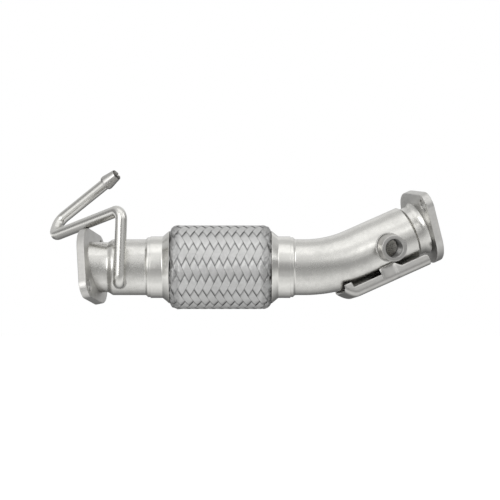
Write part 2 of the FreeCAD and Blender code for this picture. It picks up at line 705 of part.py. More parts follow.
def bent_rod(name, radius):
    """A solid bar along the path of the outlet pipe, from its start to its swage."""
    body = DOCUMENT.addObject("PartDesign::Body", name)
    path = new_sketch(body, f"{name}_path", "XZ_Plane")
    draw_bend_path(path)
    section = new_sketch(body, f"{name}_section", "YZ_Plane")
    section.setExpression("AttachmentOffset.Base.z", OUTLET_PIPE_START)
    section.addGeometry(Part.Circle(Vector(0, 0, 0), Vector(0, 0, 1), number(radius)), False)
    section.addConstraint(Sketcher.Constraint("Coincident", 0, 3, -1, 1))
    bind(section, Sketcher.Constraint("Radius", 0, number(radius)), "radius", radius)
    DOCUMENT.recompute()
    swept = body.newObject("PartDesign::AdditivePipe", f"{name}_swept")
    swept.Profile = section
    swept.Spine = (path, ["Edge1", "Edge2", "Edge3"])
    body.Placement = bend_frame()
    return body


def make_outlet_pipe():
    """The bent pipe, swaged to its neck and drilled for the sensor."""
    outside = bent_rod("outlet_pipe_outside", PIPE_R)
    bore = bent_rod("outlet_pipe_bore", PIPE_BORE_R)
    tube = cut("outlet_pipe_tube", outside, bore)
    shoulder = "-(sizes.outlet_neck_length + sizes.outlet_cone_length)"
    neck = "-sizes.outlet_neck_length"
    end = "-sizes.pipe_recess"
    outline = (
        (shoulder, PIPE_BORE_R), (neck, NECK_BORE_R), (end, NECK_BORE_R),
        (end, NECK_R), (neck, NECK_R), (shoulder, PIPE_R),
    )
    swage = turned_body("outlet_pipe_swage", outline, leg_frame())
    whole = fuse("outlet_pipe_whole", [tube, swage])
    drill = rod("outlet_pipe_drill", "sizes.boss_bore_diameter / 2", "sizes.pipe_diameter", boss_frame())
    return cut("outlet_pipe", whole, drill)


def leg_core(name, radius):
    """A bar along the straight leg, to fit pieces to the pipe's outside."""
    length = "sizes.outlet_leg_length * 2"
    start = on_leg(size("outlet_leg_length") * 1.5, 0)
    return rod(name, radius, length, start)


# Sensor boss

def boss_frame():
    """On the outlet axis, with +X along the boss."""
    out = Placement(Vector(0, 0, 0), Rotation(Y_AXIS, -90))
    return on_leg(size("boss_station"), size("boss_angle")) * out


def make_boss(core):
    """The threaded boss, its foot shaped to the pipe."""
    inner = "sizes.boss_bore_diameter / 2"
    outer = "sizes.boss_diameter / 2"
    foot = "sizes.pipe_diameter / 3"
    top = f"({PIPE_R} + sizes.boss_height)"
    bevel = "sizes.boss_bevel"
    outline = (
        (foot, inner), (f"{top} - {bevel}", inner), (top, f"{inner} + {bevel}"),
        (top, f"{outer} - {bevel}"), (f"{top} - {bevel}", outer), (foot, outer),
    )
    blank = turned_body("sensor_boss_blank", outline, boss_frame())
    return cut("sensor_boss", blank, core)


def saddle_bead(name, frame, core, inner, width, cover):
    """A bead that follows a round wall about a round post."""
    post = rod(f"{name}_post", f"{inner} + {width}", "sizes.pipe_diameter", frame)
    hole = rod(f"{name}_hole", inner, "sizes.pipe_diameter", frame)
    return cut(name, common(f"{name}_disc", post, cover), core, hole)


def make_boss_weld(core):
    """The bead round the foot of the boss."""
    cover = leg_core("sensor_boss_weld_cover", f"{PIPE_R} + sizes.boss_weld_height")
    return saddle_bead("sensor_boss_weld", boss_frame(), core, "sizes.boss_diameter / 2",
                       "sizes.boss_weld_width", cover)


# Support bracket

def bracket_frame():
    """On the outlet axis at the bracket's end near the flange, with +Z to its open side."""
    return on_leg(size("bracket_station"), size("bracket_angle"))


def draw_channel(sketch):
    """The section of the pressed channel, open upwards, with round folds."""
    half = size("bracket_width") / 2
    drop = number(BRACKET_DROP)
    sheet = size("bracket_sheet")
    bend = size("bracket_bend")
    inner = bend - sheet
    normal = Vector(0, 0, 1)
    fold = Vector(half - bend, -drop + bend, 0)
    mirror_fold = Vector(-fold.x, fold.y, 0)

    def line(x1, y1, x2, y2):
        return Part.LineSegment(Vector(x1, y1, 0), Vector(x2, y2, 0))

    def arc(center, radius, start, end):
        circle = Part.Circle(center, normal, radius)
        return Part.ArcOfCircle(circle, math.radians(start), math.radians(end))

    sketch.addGeometry([
        line(-half, 0, -half, fold.y), arc(mirror_fold, bend, 180, 270),
        line(-fold.x, -drop, fold.x, -drop), arc(fold, bend, 270, 360),
        line(half, fold.y, half, 0), line(half, 0, half - sheet, 0),
        line(half - sheet, 0, half - sheet, fold.y), arc(fold, inner, 270, 360),
        line(fold.x, -drop + sheet, -fold.x, -drop + sheet), arc(mirror_fold, inner, 180, 270),
        line(-half + sheet, fold.y, -half + sheet, 0), line(-half + sheet, 0, -half, 0),
    ], False)
    links = (
        ("Tangent", 0, 2, 1, 1), ("Tangent", 1, 2, 2, 1), ("Tangent", 2, 2, 3, 1), ("Tangent", 3, 2, 4, 1),
        ("Coincident", 4, 2, 5, 1), ("Coincident", 5, 2, 6, 1), ("Tangent", 6, 2, 7, 2),
        ("Tangent", 7, 1, 8, 1), ("Tangent", 8, 2, 9, 2), ("Tangent", 9, 1, 10, 1),
        ("Coincident", 10, 2, 11, 1), ("Coincident", 11, 2, 0, 1),
    )
    for link in links:
        sketch.addConstraint(Sketcher.Constraint(*link))
    sketch.addConstraint(Sketcher.Constraint("Coincident", 7, 3, 3, 3))
    sketch.addConstraint(Sketcher.Constraint("Coincident", 9, 3, 1, 3))
    sketch.addConstraint(Sketcher.Constraint("Symmetric", 1, 3, 3, 3, -2))
    sketch.addConstraint(Sketcher.Constraint("Vertical", 0))
    sketch.addConstraint(Sketcher.Constraint("Vertical", 4))
    sketch.addConstraint(Sketcher.Constraint("Equal", 1, 3))
    sketch.addConstraint(Sketcher.Constraint("PointOnObject", 0, 1, -1))
    sketch.addConstraint(Sketcher.Constraint("PointOnObject", 4, 2, -1))
    sketch.addConstraint(Sketcher.Constraint("PointOnObject", 5, 2, -1))
    sketch.addConstraint(Sketcher.Constraint("PointOnObject", 10, 2, -1))
    bind(sketch, Sketcher.Constraint("DistanceX", -1, 1, 4, 1, half), "half", "sizes.bracket_width / 2")
    bind(sketch, Sketcher.Constraint("DistanceY", 2, 2, -1, 1, drop), "drop", BRACKET_DROP)
    bind(sketch, Sketcher.Constraint("Radius", 3, bend), "bend", "sizes.bracket_bend")
    inside = Sketcher.Constraint("Radius", 7, inner)
    bind(sketch, inside, "inside", "sizes.bracket_bend - sizes.bracket_sheet")


def cut_across(body, name, outline):
    """Takes an outline, seen from the side, out of both walls of the channel."""
    sketch = new_sketch(body, f"{name}_outline", "XZ_Plane")
    draw_polygon(sketch, outline)
    pocket = body.newObject("PartDesign::Pocket", name)
    pocket.Profile = sketch
    pocket.Type = "ThroughAll"
    pocket.Midplane = True


def make_bracket(pipe_outside, core):
    """The channel: a low wall, a tab up to the pipe, a window, and a turned-up far end."""
    body = DOCUMENT.addObject("PartDesign::Body", "support_bracket_blank")
    section = new_sketch(body, "bracket_section", "YZ_Plane")
    draw_channel(section)
    channel = body.newObject("PartDesign::Pad", "bracket_channel")
    channel.Profile = section
    channel.setExpression("Length", "sizes.bracket_length")
    channel.Reversed = True
    drop = BRACKET_DROP
    end = "-sizes.bracket_length"
    slant = "sizes.bracket_slant"
    tab_near = "-sizes.near_window_length"
    tab_far = "(-sizes.near_window_length - sizes.tab_length)"
    window_end = f"({tab_far} - sizes.far_window_length)"
    cut_across(body, "near_window", (
        ("0", "0"), (tab_near, "0"), (tab_near, f"-({drop} - sizes.near_strip - sizes.tab_slope)"),
        (f"{tab_near} + sizes.tab_slope", f"-({drop} - sizes.near_strip)"),
        ("0", f"-({drop} - sizes.near_strip)"),
    ))
    cut_across(body, "far_window", (
        (tab_far, "0"), (window_end, "0"), (window_end, f"-({drop} - sizes.far_strip)"),
        (tab_far, f"-({drop} - sizes.far_strip)"),
    ))
    cut_across(body, "far_corner", (
        (f"{end} + {slant}", f"-{drop} - {slant}"), (f"{end} + {slant}", f"-{drop}"),
        (end, f"-{drop} + {slant}"), (end, "0"),
        (f"{end} - {slant}", "0"), (f"{end} - {slant}", f"-{drop} - {slant}"),
    ))
    upturn = new_sketch(body, "bracket_upturn_outline", "XZ_Plane")
    draw_polygon(upturn, (
        (f"{end} + {slant}", f"-{drop}"), (end, f"-{drop} + {slant}"), (end, "0"),
        (f"{end} + sizes.bracket_sheet", "0"), (f"{end} + sizes.bracket_sheet", f"-{drop} + {slant}"),
        (f"{end} + {slant}", f"-{drop} + sizes.bracket_sheet"),
    ))
    closed = body.newObject("PartDesign::Pad", "bracket_upturn")
    closed.Profile = upturn
    closed.Midplane = True
    closed.setExpression("Length", "sizes.bracket_width - sizes.bracket_sheet")
    body.Placement = bracket_frame()
    return cut("support_bracket", body, pipe_outside, core)


def make_bracket_welds(core):
    """A bead along the top of the tab on each side of the channel."""
    cover = leg_core("bracket_weld_cover", f"{PIPE_R} + sizes.bracket_weld_size")
    half = size("bracket_width") / 2
    far = size("near_window_length") + size("tab_length")
    strips = []
    for side, across in (("near", -half - size("bracket_weld_size")), ("far", half)):
        corner = Placement(Vector(-far, across, -size("pipe_diameter") / 2), Rotation())
        sides = ("sizes.tab_length", "sizes.bracket_weld_size", PIPE_R)
        strips.append(block(f"bracket_weld_{side}_strip", sides, bracket_frame() * corner))
    strip = fuse("bracket_weld_strips", strips)
    return cut("support_bracket_welds", common("bracket_weld_bars", strip, cover), core)


# Pressure pipe

def line_foot_frame():
    """Where the pressure pipe enters the inlet pipe, with +X out of the wall towards the near side."""
    place = Vector(size("line_foot_station"), 0, -size("line_foot_drop"))
    return Placement(place, Rotation(Z_AXIS, -90))


def line_corners():
    """The corners of the pressure pipe's route and the radius at each, from its foot on."""
    station = size("line_foot_station")
    foot = -size("line_foot_drop")
    bore = number(PIPE_BORE_R)
    wall = -math.sqrt(bore ** 2 - foot ** 2)
    front = -(number(PIPE_R) + size("line_standoff") + number(LINE_R))
    upright = size("line_bend_radius")
    turn = size("line_return_radius")
    start = Vector(station, wall + size("line_foot_reach"), foot)
    heel = Vector(station, front, foot)
    crest = Vector(station + size("line_crest_lean"), front, size("line_crest_height"))
    back = crest + Vector(*(size(f"line_arm_{way}") for way in ("along", "back", "rise")))
    rise = back + Vector(*(size(f"line_riser_{way}") for way in ("along", "back", "rise")))
    tip = rise + Vector(*(size(f"line_end_{way}") for way in ("along", "back", "rise")))
    return (start, 0), (heel, upright), (crest, upright), (back, turn), (rise, turn), (tip, 0)


def line_route():
    """Straight runs joined by tangent arcs."""
    corners = line_corners()
    edges = []
    here = corners[0][0]
    for (before, _), (corner, radius), (after, _) in zip(corners, corners[1:], corners[2:]):
        arrive = (corner - before).normalize()
        leave = (after - corner).normalize()
        turn = arrive.getAngle(leave)
        tangent = radius * math.tan(turn / 2)
        start = corner - arrive * tangent
        end = corner + leave * tangent
        inward = (leave - arrive).normalize()
        center = corner + inward * (radius / math.cos(turn / 2))
        middle = center - inward * radius
        edges.append(Part.LineSegment(here, start).toShape())
        edges.append(Part.Arc(start, middle, end).toShape())
        here = end
    edges.append(Part.LineSegment(here, corners[-1][0] - barb_axis() * line_end_setback()).toShape())
    return Part.Wire(edges)


def line_end_setback():
    """From the nipple's tip back to the end of the pressure pipe inside it."""
    return size("barb_length") - size("barb_socket")


def barb_axis():
    """The direction of the last run."""
    corners = line_corners()
    return (corners[-1][0] - corners[-2][0]).normalize()


def barb_frame():
    """At the tip of the nipple, with +X back along the pressure pipe."""
    tip = line_corners()[-1][0]
    return Placement(tip, Rotation(X_AXIS, barb_axis() * -1))


def line_bar(name, radius, route):
    """A solid bar along the pressure pipe's route."""
    circle = DOCUMENT.addObject("Part::Circle", f"{name}_section")
    circle.setExpression("Radius", radius)
    circle.Placement = Placement(line_corners()[0][0], Rotation(Z_AXIS, Y_AXIS * -1))
    bar = DOCUMENT.addObject("Part::Sweep", name)
    bar.Sections = [circle]
    bar.Spine = (route, [f"Edge{index}" for index in range(1, len(route.Shape.Edges) + 1)])
    bar.Solid = True
    bar.Frenet = False
    return bar


def make_pressure_pipe():
    """The thin bent tube."""
    route = DOCUMENT.addObject("Part::Feature", "pressure_pipe_route")
    route.Shape = line_route()
    outside = line_bar("pressure_pipe_outside", LINE_R, route)
    bore = line_bar("pressure_pipe_bore", LINE_BORE_R, route)
    return cut("pressure_pipe", outside, bore)


def make_line_weld():
    """The bead round the foot of the pressure pipe."""
    start = Placement(Vector(0, 0, 0), Rotation())
    core = rod("line_weld_core", PIPE_R, "sizes.pipe_diameter * 2", start)
    cover = rod("line_weld_cover", f"{PIPE_R} + sizes.line_weld_width", "sizes.pipe_diameter * 2", start)
    return saddle_bead("pressure_pipe_weld", line_foot_frame(), core, LINE_R, "sizes.line_weld_width", cover)


def make_barb():
    """The turned hose nipple: a long taper with a sharp shoulder, brazed over the tube's end."""
    tip = "sizes.barb_tip_diameter / 2"
    shoulder = "sizes.barb_diameter / 2"
    seat = f"({LINE_R} + sizes.fit_gap / 2)"
    depth = "sizes.barb_length - sizes.barb_socket"
    outline = (
        ("0", LINE_BORE_R), (depth, LINE_BORE_R), (depth, seat), ("sizes.barb_length", seat),
        ("sizes.barb_length", shoulder), ("0", tip),
    )
    return turned_body("hose_barb", outline, barb_frame())


# Assembly

def make_all():
    """Every sub-part, in order from the inlet to the outlet."""
    straight = Placement(Vector(0, 0, 0), Rotation())
    leg = leg_frame()
    core = leg_core("outlet_leg_core", PIPE_R)
    outlet_pipe = make_outlet_pipe()
    outside = DOCUMENT.getObject("outlet_pipe_outside")
    return [
        make_flange("inlet_flange", inlet_frame(), straight),
        make_recess_weld("inlet_flange_weld", inlet_frame(), straight),
        make_inlet_pipe(),
        make_pressure_pipe(),
        make_line_weld(),
        make_barb(),
        make_sleeve("inlet_sleeve", inlet_rim_frame()),
        make_sleeve_weld("inlet_sleeve_weld", inlet_rim_frame()),
        make_collar("inlet_collar", inlet_rim_frame()),
        make_braid(),
        make_bellows(),
        make_liner(),
        make_collar("outlet_collar", outlet_rim_frame()),
        make_sleeve("outlet_sleeve", outlet_rim_frame()),
        make_sleeve_weld("outlet_sleeve_weld", outlet_rim_frame()),
        outlet_pipe,
        make_boss(core),
        make_boss_weld(core),
        make_bracket(outside, core),
        make_bracket_welds(core),
        make_flange("outlet_flange", outlet_frame(), leg),
        make_recess_weld("outlet_flange_weld", outlet_frame(), leg),
    ]


def check_document():
    """Stops if any object of the document has failed."""
    for item in DOCUMENT.Objects:
        broken = [state for state in item.State if state in ("Invalid", "Error")]
        if broken:
            raise RuntimeError(f"{item.Name} is {broken}")


def check_part(part):
    """Stops if a sub-part has no sound solid."""
    shape = part.Shape
    if shape.isNull() or not shape.isValid() or not shape.Solids:
        raise RuntimeError(f"{part.Label} has no valid solid")


def write_parts(parts):
    """One file for each sub-part, named by its label."""
    os.makedirs("parts", exist_ok=True)
    for part in parts:
        part.Shape.exportStep(f"parts/{part.Label}.step")
        solids = len(part.Shape.Solids)
        print(f"{part.Label}: {solids} solid, {part.Shape.Volume / 1000:.2f} cm3")


PARTS = make_all()
DOCUMENT.recompute()
check_document()
for made in PARTS:
    check_part(made)
write_parts(PARTS)
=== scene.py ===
import json
import math
from types import SimpleNamespace

import bmesh
import bpy
from mathutils import Matrix, Vector


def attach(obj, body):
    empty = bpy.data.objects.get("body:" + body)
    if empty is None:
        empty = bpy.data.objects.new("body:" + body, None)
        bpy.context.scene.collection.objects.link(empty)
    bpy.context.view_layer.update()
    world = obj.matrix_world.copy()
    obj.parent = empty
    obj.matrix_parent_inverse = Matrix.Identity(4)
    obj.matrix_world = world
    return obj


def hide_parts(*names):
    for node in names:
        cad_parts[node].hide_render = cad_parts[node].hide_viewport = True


bl_info = {
    "name": "Exhaust pipe with flex joint",
    "version": (1, 0, 0),
    "blender": (4, 5, 0),
    "location": "3D View > Sidebar > Exhaust",
    "description": "Dresses a front exhaust pipe: flanges, tubes, braid, welds and a plain stage",
    "category": "Object",
}

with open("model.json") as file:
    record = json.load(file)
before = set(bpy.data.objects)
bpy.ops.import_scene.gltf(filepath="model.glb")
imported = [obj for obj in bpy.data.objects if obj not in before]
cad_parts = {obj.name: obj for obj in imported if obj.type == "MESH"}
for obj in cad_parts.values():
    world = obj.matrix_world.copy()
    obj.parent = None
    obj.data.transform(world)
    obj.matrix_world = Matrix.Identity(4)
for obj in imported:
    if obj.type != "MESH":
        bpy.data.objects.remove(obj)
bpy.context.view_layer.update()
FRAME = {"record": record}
MOUNTS = {mount["name"]: mount for mount in FRAME["record"]["mounts"]}
MM = 0.001
TAU = math.tau


# Sizes and colours of the sidebar

def length(name, description, millimetres):
    """A size in the sidebar, given in millimetres."""
    return bpy.props.FloatProperty(name=name, description=description, unit="LENGTH",
                                   default=millimetres * MM, min=0.0, precision=5)


def count(name, description, number):
    """A whole number in the sidebar."""
    return bpy.props.IntProperty(name=name, description=description, default=number, min=1)


def angle(name, description, degrees):
    """An angle in the sidebar, given in degrees."""
    return bpy.props.FloatProperty(name=name, description=description, subtype="ANGLE",
                                   default=math.radians(degrees))


def linear(code):
    """The linear colour of an sRGB hex value."""
    channels = [int(code[start:start + 2], 16) / 255 for start in (1, 3, 5)]
    return [value / 12.92 if value <= 0.04045 else ((value + 0.055) / 1.055) ** 2.4
            for value in channels]


def colour(name, description, code):
    """A colour in the sidebar, given as an sRGB hex value."""
    return bpy.props.FloatVectorProperty(name=name, description=description, subtype="COLOR",
                                         default=linear(code), size=3, min=0.0, max=1.0)


class PipeSizes(bpy.types.PropertyGroup):
    """Sizes of the two pipes and their flanges."""

    radius: length("Pipe radius", "Outside of both pipes", 27.0)
    wall: length("Pipe wall", "Wall of both pipes", 1.5)
    neck_radius: length("Neck radius", "Outside of the necks in the flanges", 24.15)
    inlet_neck: length("Inlet neck", "Sealing face to the inlet swage", 18.3)
    inlet_cone: length("Inlet swage", "Length of the inlet swage", 6.4)
    inlet_end: length("Inlet pipe end", "Sealing face to the inlet pipe's hidden end", 68.2)
    outlet_start: length("Outlet pipe start", "Inlet face to the outlet pipe's hidden end", 187.1)
    bend_station: length("Bend", "Inlet face to where the two pipe axes cross", 234.4)
    bend_radius: length("Bend radius", "Centreline radius of the bend", 108.0)
    leg: length("Outlet leg", "Axis crossing to the outlet sealing face", 104.5)
    outlet_neck: length("Outlet neck", "Sealing face to the outlet swage", 18.5)
    outlet_cone: length("Outlet swage", "Length of the outlet swage", 3.2)
    flare: length("Neck flare", "How far the outlet neck widens at its flange", 2.2)
    recess: length("Recess", "Pipe ends to the sealing faces", 3.0)
    flange_thickness: length("Flange thickness", "Thickness of both flange plates", 7.5)
    flange_radius: length("Flange radius", "Round middle of the flange", 37.0)
    ear_radius: length("Ear radius", "Round end of a flange ear", 11.5)
    bolt_reach: length("Bolt reach", "Flange middle to a bolt hole", 44.0)
    bolt_radius: length("Bolt hole radius", "Clearance hole of a flange bolt", 6.0)
    edge: length("Flange edge", "Rounding of the flange edges", 0.7)


class FlexSizes(bpy.types.PropertyGroup):
    """Sizes of the flex joint and its woven cover."""

    center: length("Middle", "Inlet sealing face to the middle of the flex joint", 127.65)
    half: length("Half length", "Middle of the joint to a flared rim", 48.95)
    crown: length("Braid radius", "Over the crowns of the weave", 40.5)
    pitch: length("Pitch", "From band to band along the joint", 7.95)
    bands: count("Bands", "Bands of wire in each of the two directions", 16)
    wires: count("Wires", "Wires side by side in one band", 9)
    phase: angle("Phase", "Turn of the weave about the joint", 43.125)
    offset: length("Offset", "Middle of the joint to a crossing of two bands", 6.5)
    shoulder: length("Shoulder", "Round shoulder of the braid", 6.7)
    rim_gap: length("Rim gap", "Shoulder to the flared rim", 1.0)


class FittingSizes(bpy.types.PropertyGroup):
    """Sizes of the sensor boss, the bracket and the pressure pipe."""

    boss_radius: length("Boss radius", "Outside of the sensor boss", 12.8)
    boss_bore: length("Boss bore", "Core radius of the sensor thread", 8.25)
    boss_height: length("Boss height", "Boss above the pipe axis", 41.5)
    thread_pitch: length("Thread pitch", "Pitch of the sensor thread", 1.5)
    bracket_half: length("Bracket half width", "Middle of the channel to its outside", 17.4)
    bracket_drop: length("Bracket drop", "Pipe axis to the underside of the channel", 34.4)
    sheet: length("Bracket sheet", "Thickness of the pressed sheet", 2.0)
    fold: length("Bracket fold", "Outer radius of the folds", 4.0)
    line_radius: length("Pressure pipe radius", "Outside of the pressure pipe", 5.6)
    line_wall: length("Pressure pipe wall", "Wall of the pressure pipe", 1.2)


class Finishes(bpy.types.PropertyGroup):
    """Colours of the metals."""

    tube: colour("Drawn tube", "Satin stainless tube", "#D4D3CF")
    sheet: colour("Pressed sheet", "Smooth stainless sheet", "#D8D7D3")
    plate: colour("Flange plate", "Stamped steel plate", "#C9C8C5")
    wire: colour("Braid wire", "Bright stainless wire", "#CCCCCB")
    dull: colour("Dull steel", "Weld beads, turned steel and the bracket", "#BBBAB7")


def sizes_of(group):
    """The sizes of one group in millimetres, with its counts and angles as they are."""
    settings = getattr(bpy.context.scene, f"exhaust_{group}")
    values = {name: getattr(settings, name) for name in type(settings).__annotations__}
    for name in values:
        if settings.bl_rna.properties[name].unit == "LENGTH":
            values[name] /= MM
    return SimpleNamespace(**values)


# Places and outlines in millimetres that the sidebar doesn't hold

BORE_PLAY = 0.1         # between a neck and its flange's bore
FLARE_LENGTH = 6.0      # of the widening neck behind the outlet flange
FOOT_DRILL = 5.7        # radius of the pressure pipe's hole in the inlet pipe
INSIDE_END = 10.2       # flared rim to the ends of the bellows and the liner
BRAID_LAYER = 0.68      # crowns of the weave down to its middle layer
NIPPLE_SEAT = 9.2       # tip of the nipple to the end of the pressure pipe
BOSS_FOOT = 25.0        # pipe axis to the lowest point that the boss is turned from
THREAD_DEPTH = 0.72
BRACKET_STATION = 15.8  # outlet sealing face to the near end of the bracket
TAB_START, TAB_END, TAB_PROUD = 34.8, 49.6, 0.7
CLOSED_END = 78.0       # near end of the bracket to where its floor turns up
BEAD_PROUD = 0.1        # how far the middle of a foot's weld bead stands off the pipe

# The pressure pipe's axis from its foot, without its end: corners with the radii of their bends
LINE_CORNERS = (
    ((31.3, -22.7, -14.6), 0.0), ((31.3, -34.6, -14.6), 7.8), ((33.7, -34.6, 55.4), 7.8),
    ((-36.6, 47.6, 30.5), 10.0), ((-32.3, 61.6, 45.5), 10.0),
)
# Turned outlines: station, radius and, where a corner has its own, the corner's rounding
COLLAR = ((0.0, 34.3, 0.3), (0.35, 35.2, 0.3), (6.8, 29.8, 1.6), (18.5, 29.8, 0.9),
          (18.5, 29.0, 0.2), (6.8, 29.0, 1.2))
SLEEVE = ((1.0, 27.1), (21.5, 27.1, 0.1), (21.5, 28.9, 0.7), (1.0, 28.9))
SLEEVE_BEAD = ((21.45, 27.0, 0.0), (23.4, 27.0, 0.0), (22.4, 27.55, 0.5), (21.45, 28.5, 0.2))
NIPPLE = ((0.0, 5.15, 0.1), (3.6, 4.4, 1.2), (NIPPLE_SEAT, 4.4, 0.1), (NIPPLE_SEAT, 5.65, 0.1),
          (15.2, 5.65, 0.4), (15.2, 7.0, 0.5), (12.9, 7.3, 0.4), (1.4, 5.6, 0.5), (0.0, 5.3, 0.6))
# Tops of the channel's walls from its near end, as station and height: a low strip, the tab up
# to the pipe, a low strip again and the closed end
WALL_TOPS = ((0.0, -28.6), (0.7, -26.9), (2.0, -25.9), (3.6, -25.6), (28.7, -25.6), (34.3, -20.7),
             (50.1, -20.7), (50.8, -25.7), (51.4, -26.0), (80.4, -26.0), (81.1, -25.6),
             (81.7, -20.7), (89.0, -20.7))
BRACKET_STATIONS = (0.0, 0.35, 0.7, 1.3, 2.0, 2.8, 3.6, 8.0, 16.0, 24.0, 28.7, 30.5, 32.4, 34.3,
                    35.3, 36.3, 38.0, 44.0, 48.0, 49.0, 50.1, 50.8, 51.4, 60.0, 70.0, 77.0, 79.0,
                    80.4, 81.1, 81.7, 83.0, 84.5, 86.0, 87.5, 89.0)


# Frames in millimetres

def at(origin, along, up):
    """A frame with +X along one direction and +Z as near as can be to another."""
    x_axis = Vector(along).normalized()
    z_axis = Vector(up) - x_axis * Vector(up).dot(x_axis)
    z_axis.normalize()
    y_axis = z_axis.cross(x_axis)
    frame = Matrix((x_axis, y_axis, z_axis)).transposed().to_4x4()
    frame.translation = Vector(origin)
    return frame


def mount_place(name):
    """Position in millimetres and direction of one of the record's mounts."""
    return Vector(MOUNTS[name]["pos_m"]) / MM, Vector(MOUNTS[name]["axis"])


def flange_frame(side):
    """At the middle of a sealing face: +X into the pipe, +Z to the near ear."""
    place, outward = mount_place(f"{side}_bolts")
    return at(place, -outward, mount_place(f"{side}_face")[0] - place)


def leg_axis():
    """Direction of the outlet leg, away from the bend."""
    return mount_place("outlet_bolts")[1]


def boss_frame():
    """On the outlet axis, with +X along the sensor boss."""
    place, outward = mount_place("sensor_port")
    start, axis = mount_place("outlet_bolts")
    return at(start + axis * (place - start).dot(axis), outward, axis)


def bracket_frame():
    """On the outlet axis at the bracket's near end: +X to the flange, +Z from channel to pipe."""
    start, axis = mount_place("outlet_bolts")
    return at(start - axis * BRACKET_STATION, axis, -mount_place("bracket_underside")[1])


def nipple_frame():
    """At the tip of the hose nipple, with +X back along the pressure pipe."""
    tip, outward = mount_place("hose_nipple")
    return at(tip, -outward, (0, 0, 1))


def joint_frame():
    """At the middle of the flex joint, with +X along the inlet pipe's axis."""
    return at((sizes_of("flex").center, 0, 0), (1, 0, 0), (0, 0, 1))


def rim_frame(end):
    """At a flared rim, with +X away from the flex joint."""
    flex = sizes_of("flex")
    return at((flex.center + end * flex.half, 0, 0), (end, 0, 0), (0, 0, 1))


# Mesh building, in millimetres until the object is made

MERGE_REACH = 0.0005    # points nearer to each other than this are one
ALMOST_STRAIGHT = math.radians(88)
CORNER_SHARE = 0.45     # the most of an edge that a rounded corner may use up


def spokes(steps):
    """Sine and cosine of evenly spread bearings round a circle."""
    return [(math.sin(TAU * step / steps), math.cos(TAU * step / steps)) for step in range(steps)]


def ring(frame, station, radius, steps):
    """Points round a frame's X axis, counted from +Z towards -Y."""
    return [frame @ Vector((station, -radius * sine, radius * cosine))
            for sine, cosine in spokes(steps)]


def soften(corners, radius, steps=4):
    """Rounds the corners of a closed outline; a third value in a corner is its own radius."""
    outline = []
    for index, corner in enumerate(corners):
        here = Vector(corner[:2])
        before = Vector(corners[index - 1][:2]) - here
        after = Vector(corners[(index + 1) % len(corners)][:2]) - here
        wanted = corner[2] if len(corner) > 2 else radius
        half_angle = before.angle(after) / 2
        if wanted <= 0 or half_angle > ALMOST_STRAIGHT:
            outline.append(here)
            continue
        reach = min(wanted / math.tan(half_angle), before.length * CORNER_SHARE,
                    after.length * CORNER_SHARE)
        start = here + before.normalized() * reach
        end = here + after.normalized() * reach
        for step in range(steps + 1):
            share = step / steps
            outline.append(start.lerp(here, share).lerp(here.lerp(end, share), share))
    return outline


def skin(rows, steps, closed=True):
    """Faces between rows of points; closed joins each row round and the last row to the first."""
    open_side = 0 if closed else 1
    faces = []
    for row in range(rows - open_side):
        for step in range(steps - open_side):
            here, there = row * steps, (row + 1) % rows * steps
            after = (step + 1) % steps
            faces.append((here + step, here + after, there + after, there + step))
    return faces


def mend(mesh, fill_ends=False):
    """Merges doubled points, or fills open ends instead, and turns all faces outwards."""
    shell = bmesh.new()
    shell.from_mesh(mesh)
    if fill_ends:
        rims = [edge for edge in shell.edges if edge.is_boundary]
        bmesh.ops.holes_fill(shell, edges=rims, sides=0)
    else:
        bmesh.ops.remove_doubles(shell, verts=shell.verts, dist=MERGE_REACH * MM)
    bmesh.ops.recalc_face_normals(shell, faces=shell.faces)
    shell.to_mesh(mesh)
    shell.free()


def add_object(name, data):
    """Puts a mesh, curve, lamp or camera in the scene."""
    thing = bpy.data.objects.new(name, data)
    bpy.context.scene.collection.objects.link(thing)
    return thing


def new_object(name, points, faces=(), edges=(), closed=False):
    """A mesh object at the origin from points in millimetres; a closed one is mended."""
    mesh = bpy.data.meshes.new(name)
    mesh.from_pydata([Vector(point) * MM for point in points], edges, faces)
    if closed:
        mend(mesh)
    return add_object(name, mesh)


def loft(name, rings):
    """A closed skin through rings of equally many points, the last joined to the first."""
    points = [point for places in rings for point in places]
    return new_object(name, points, skin(len(rings), len(rings[0])), closed=True)


def lathe(name, frame, outline, steps=160):
    """A ring or tube turned from a closed outline of (station, radius)."""
    return loft(name, [ring(frame, *Vector(point), steps) for point in outline])


def plug(name, frame, start, end, radius, steps=64):
    """A closed cylinder for carving."""
    points = ring(frame, start, radius, steps) + ring(frame, end, radius, steps)
    faces = skin(2, steps)[:steps] + [tuple(range(steps))[::-1], tuple(range(steps, 2 * steps))]
    return new_object(name, points, faces, closed=True)


def smooth(piece, degrees=35.0):
    """Smooth shading with a crease wherever two faces meet more sharply."""
    piece.data.shade_smooth()
    piece.data.set_sharp_from_angle(angle=math.radians(degrees))
    return piece


def settle(piece):
    """Applies the piece's modifiers and gives it one plain mesh."""
    graph = bpy.context.evaluated_depsgraph_get()
    graph.update()
    mesh = bpy.data.meshes.new_from_object(piece.evaluated_get(graph))
    piece.modifiers.clear()
    piece.data = mesh
    return piece


def carve(piece, cutter):
    """Takes a solid cutter out of a piece."""
    cutting = piece.modifiers.new(cutter.name, "BOOLEAN")
    cutting.operation = "DIFFERENCE"
    cutting.solver = "EXACT"
    cutting.object = cutter
    bpy.context.view_layer.update()
    settle(piece)
    bpy.data.objects.remove(cutter)
    return piece


# Materials

PATCH_SIZE = 22.0       # cloudy patches on a bare metal, in millimetres
FLECK_SIZE = 3.5        # small flecks in them, in millimetres
# Painted shade: a marked gap keeps this share of its colour
GAP_LIGHT = 0.12        # share of the light that a gap between wires or threads keeps
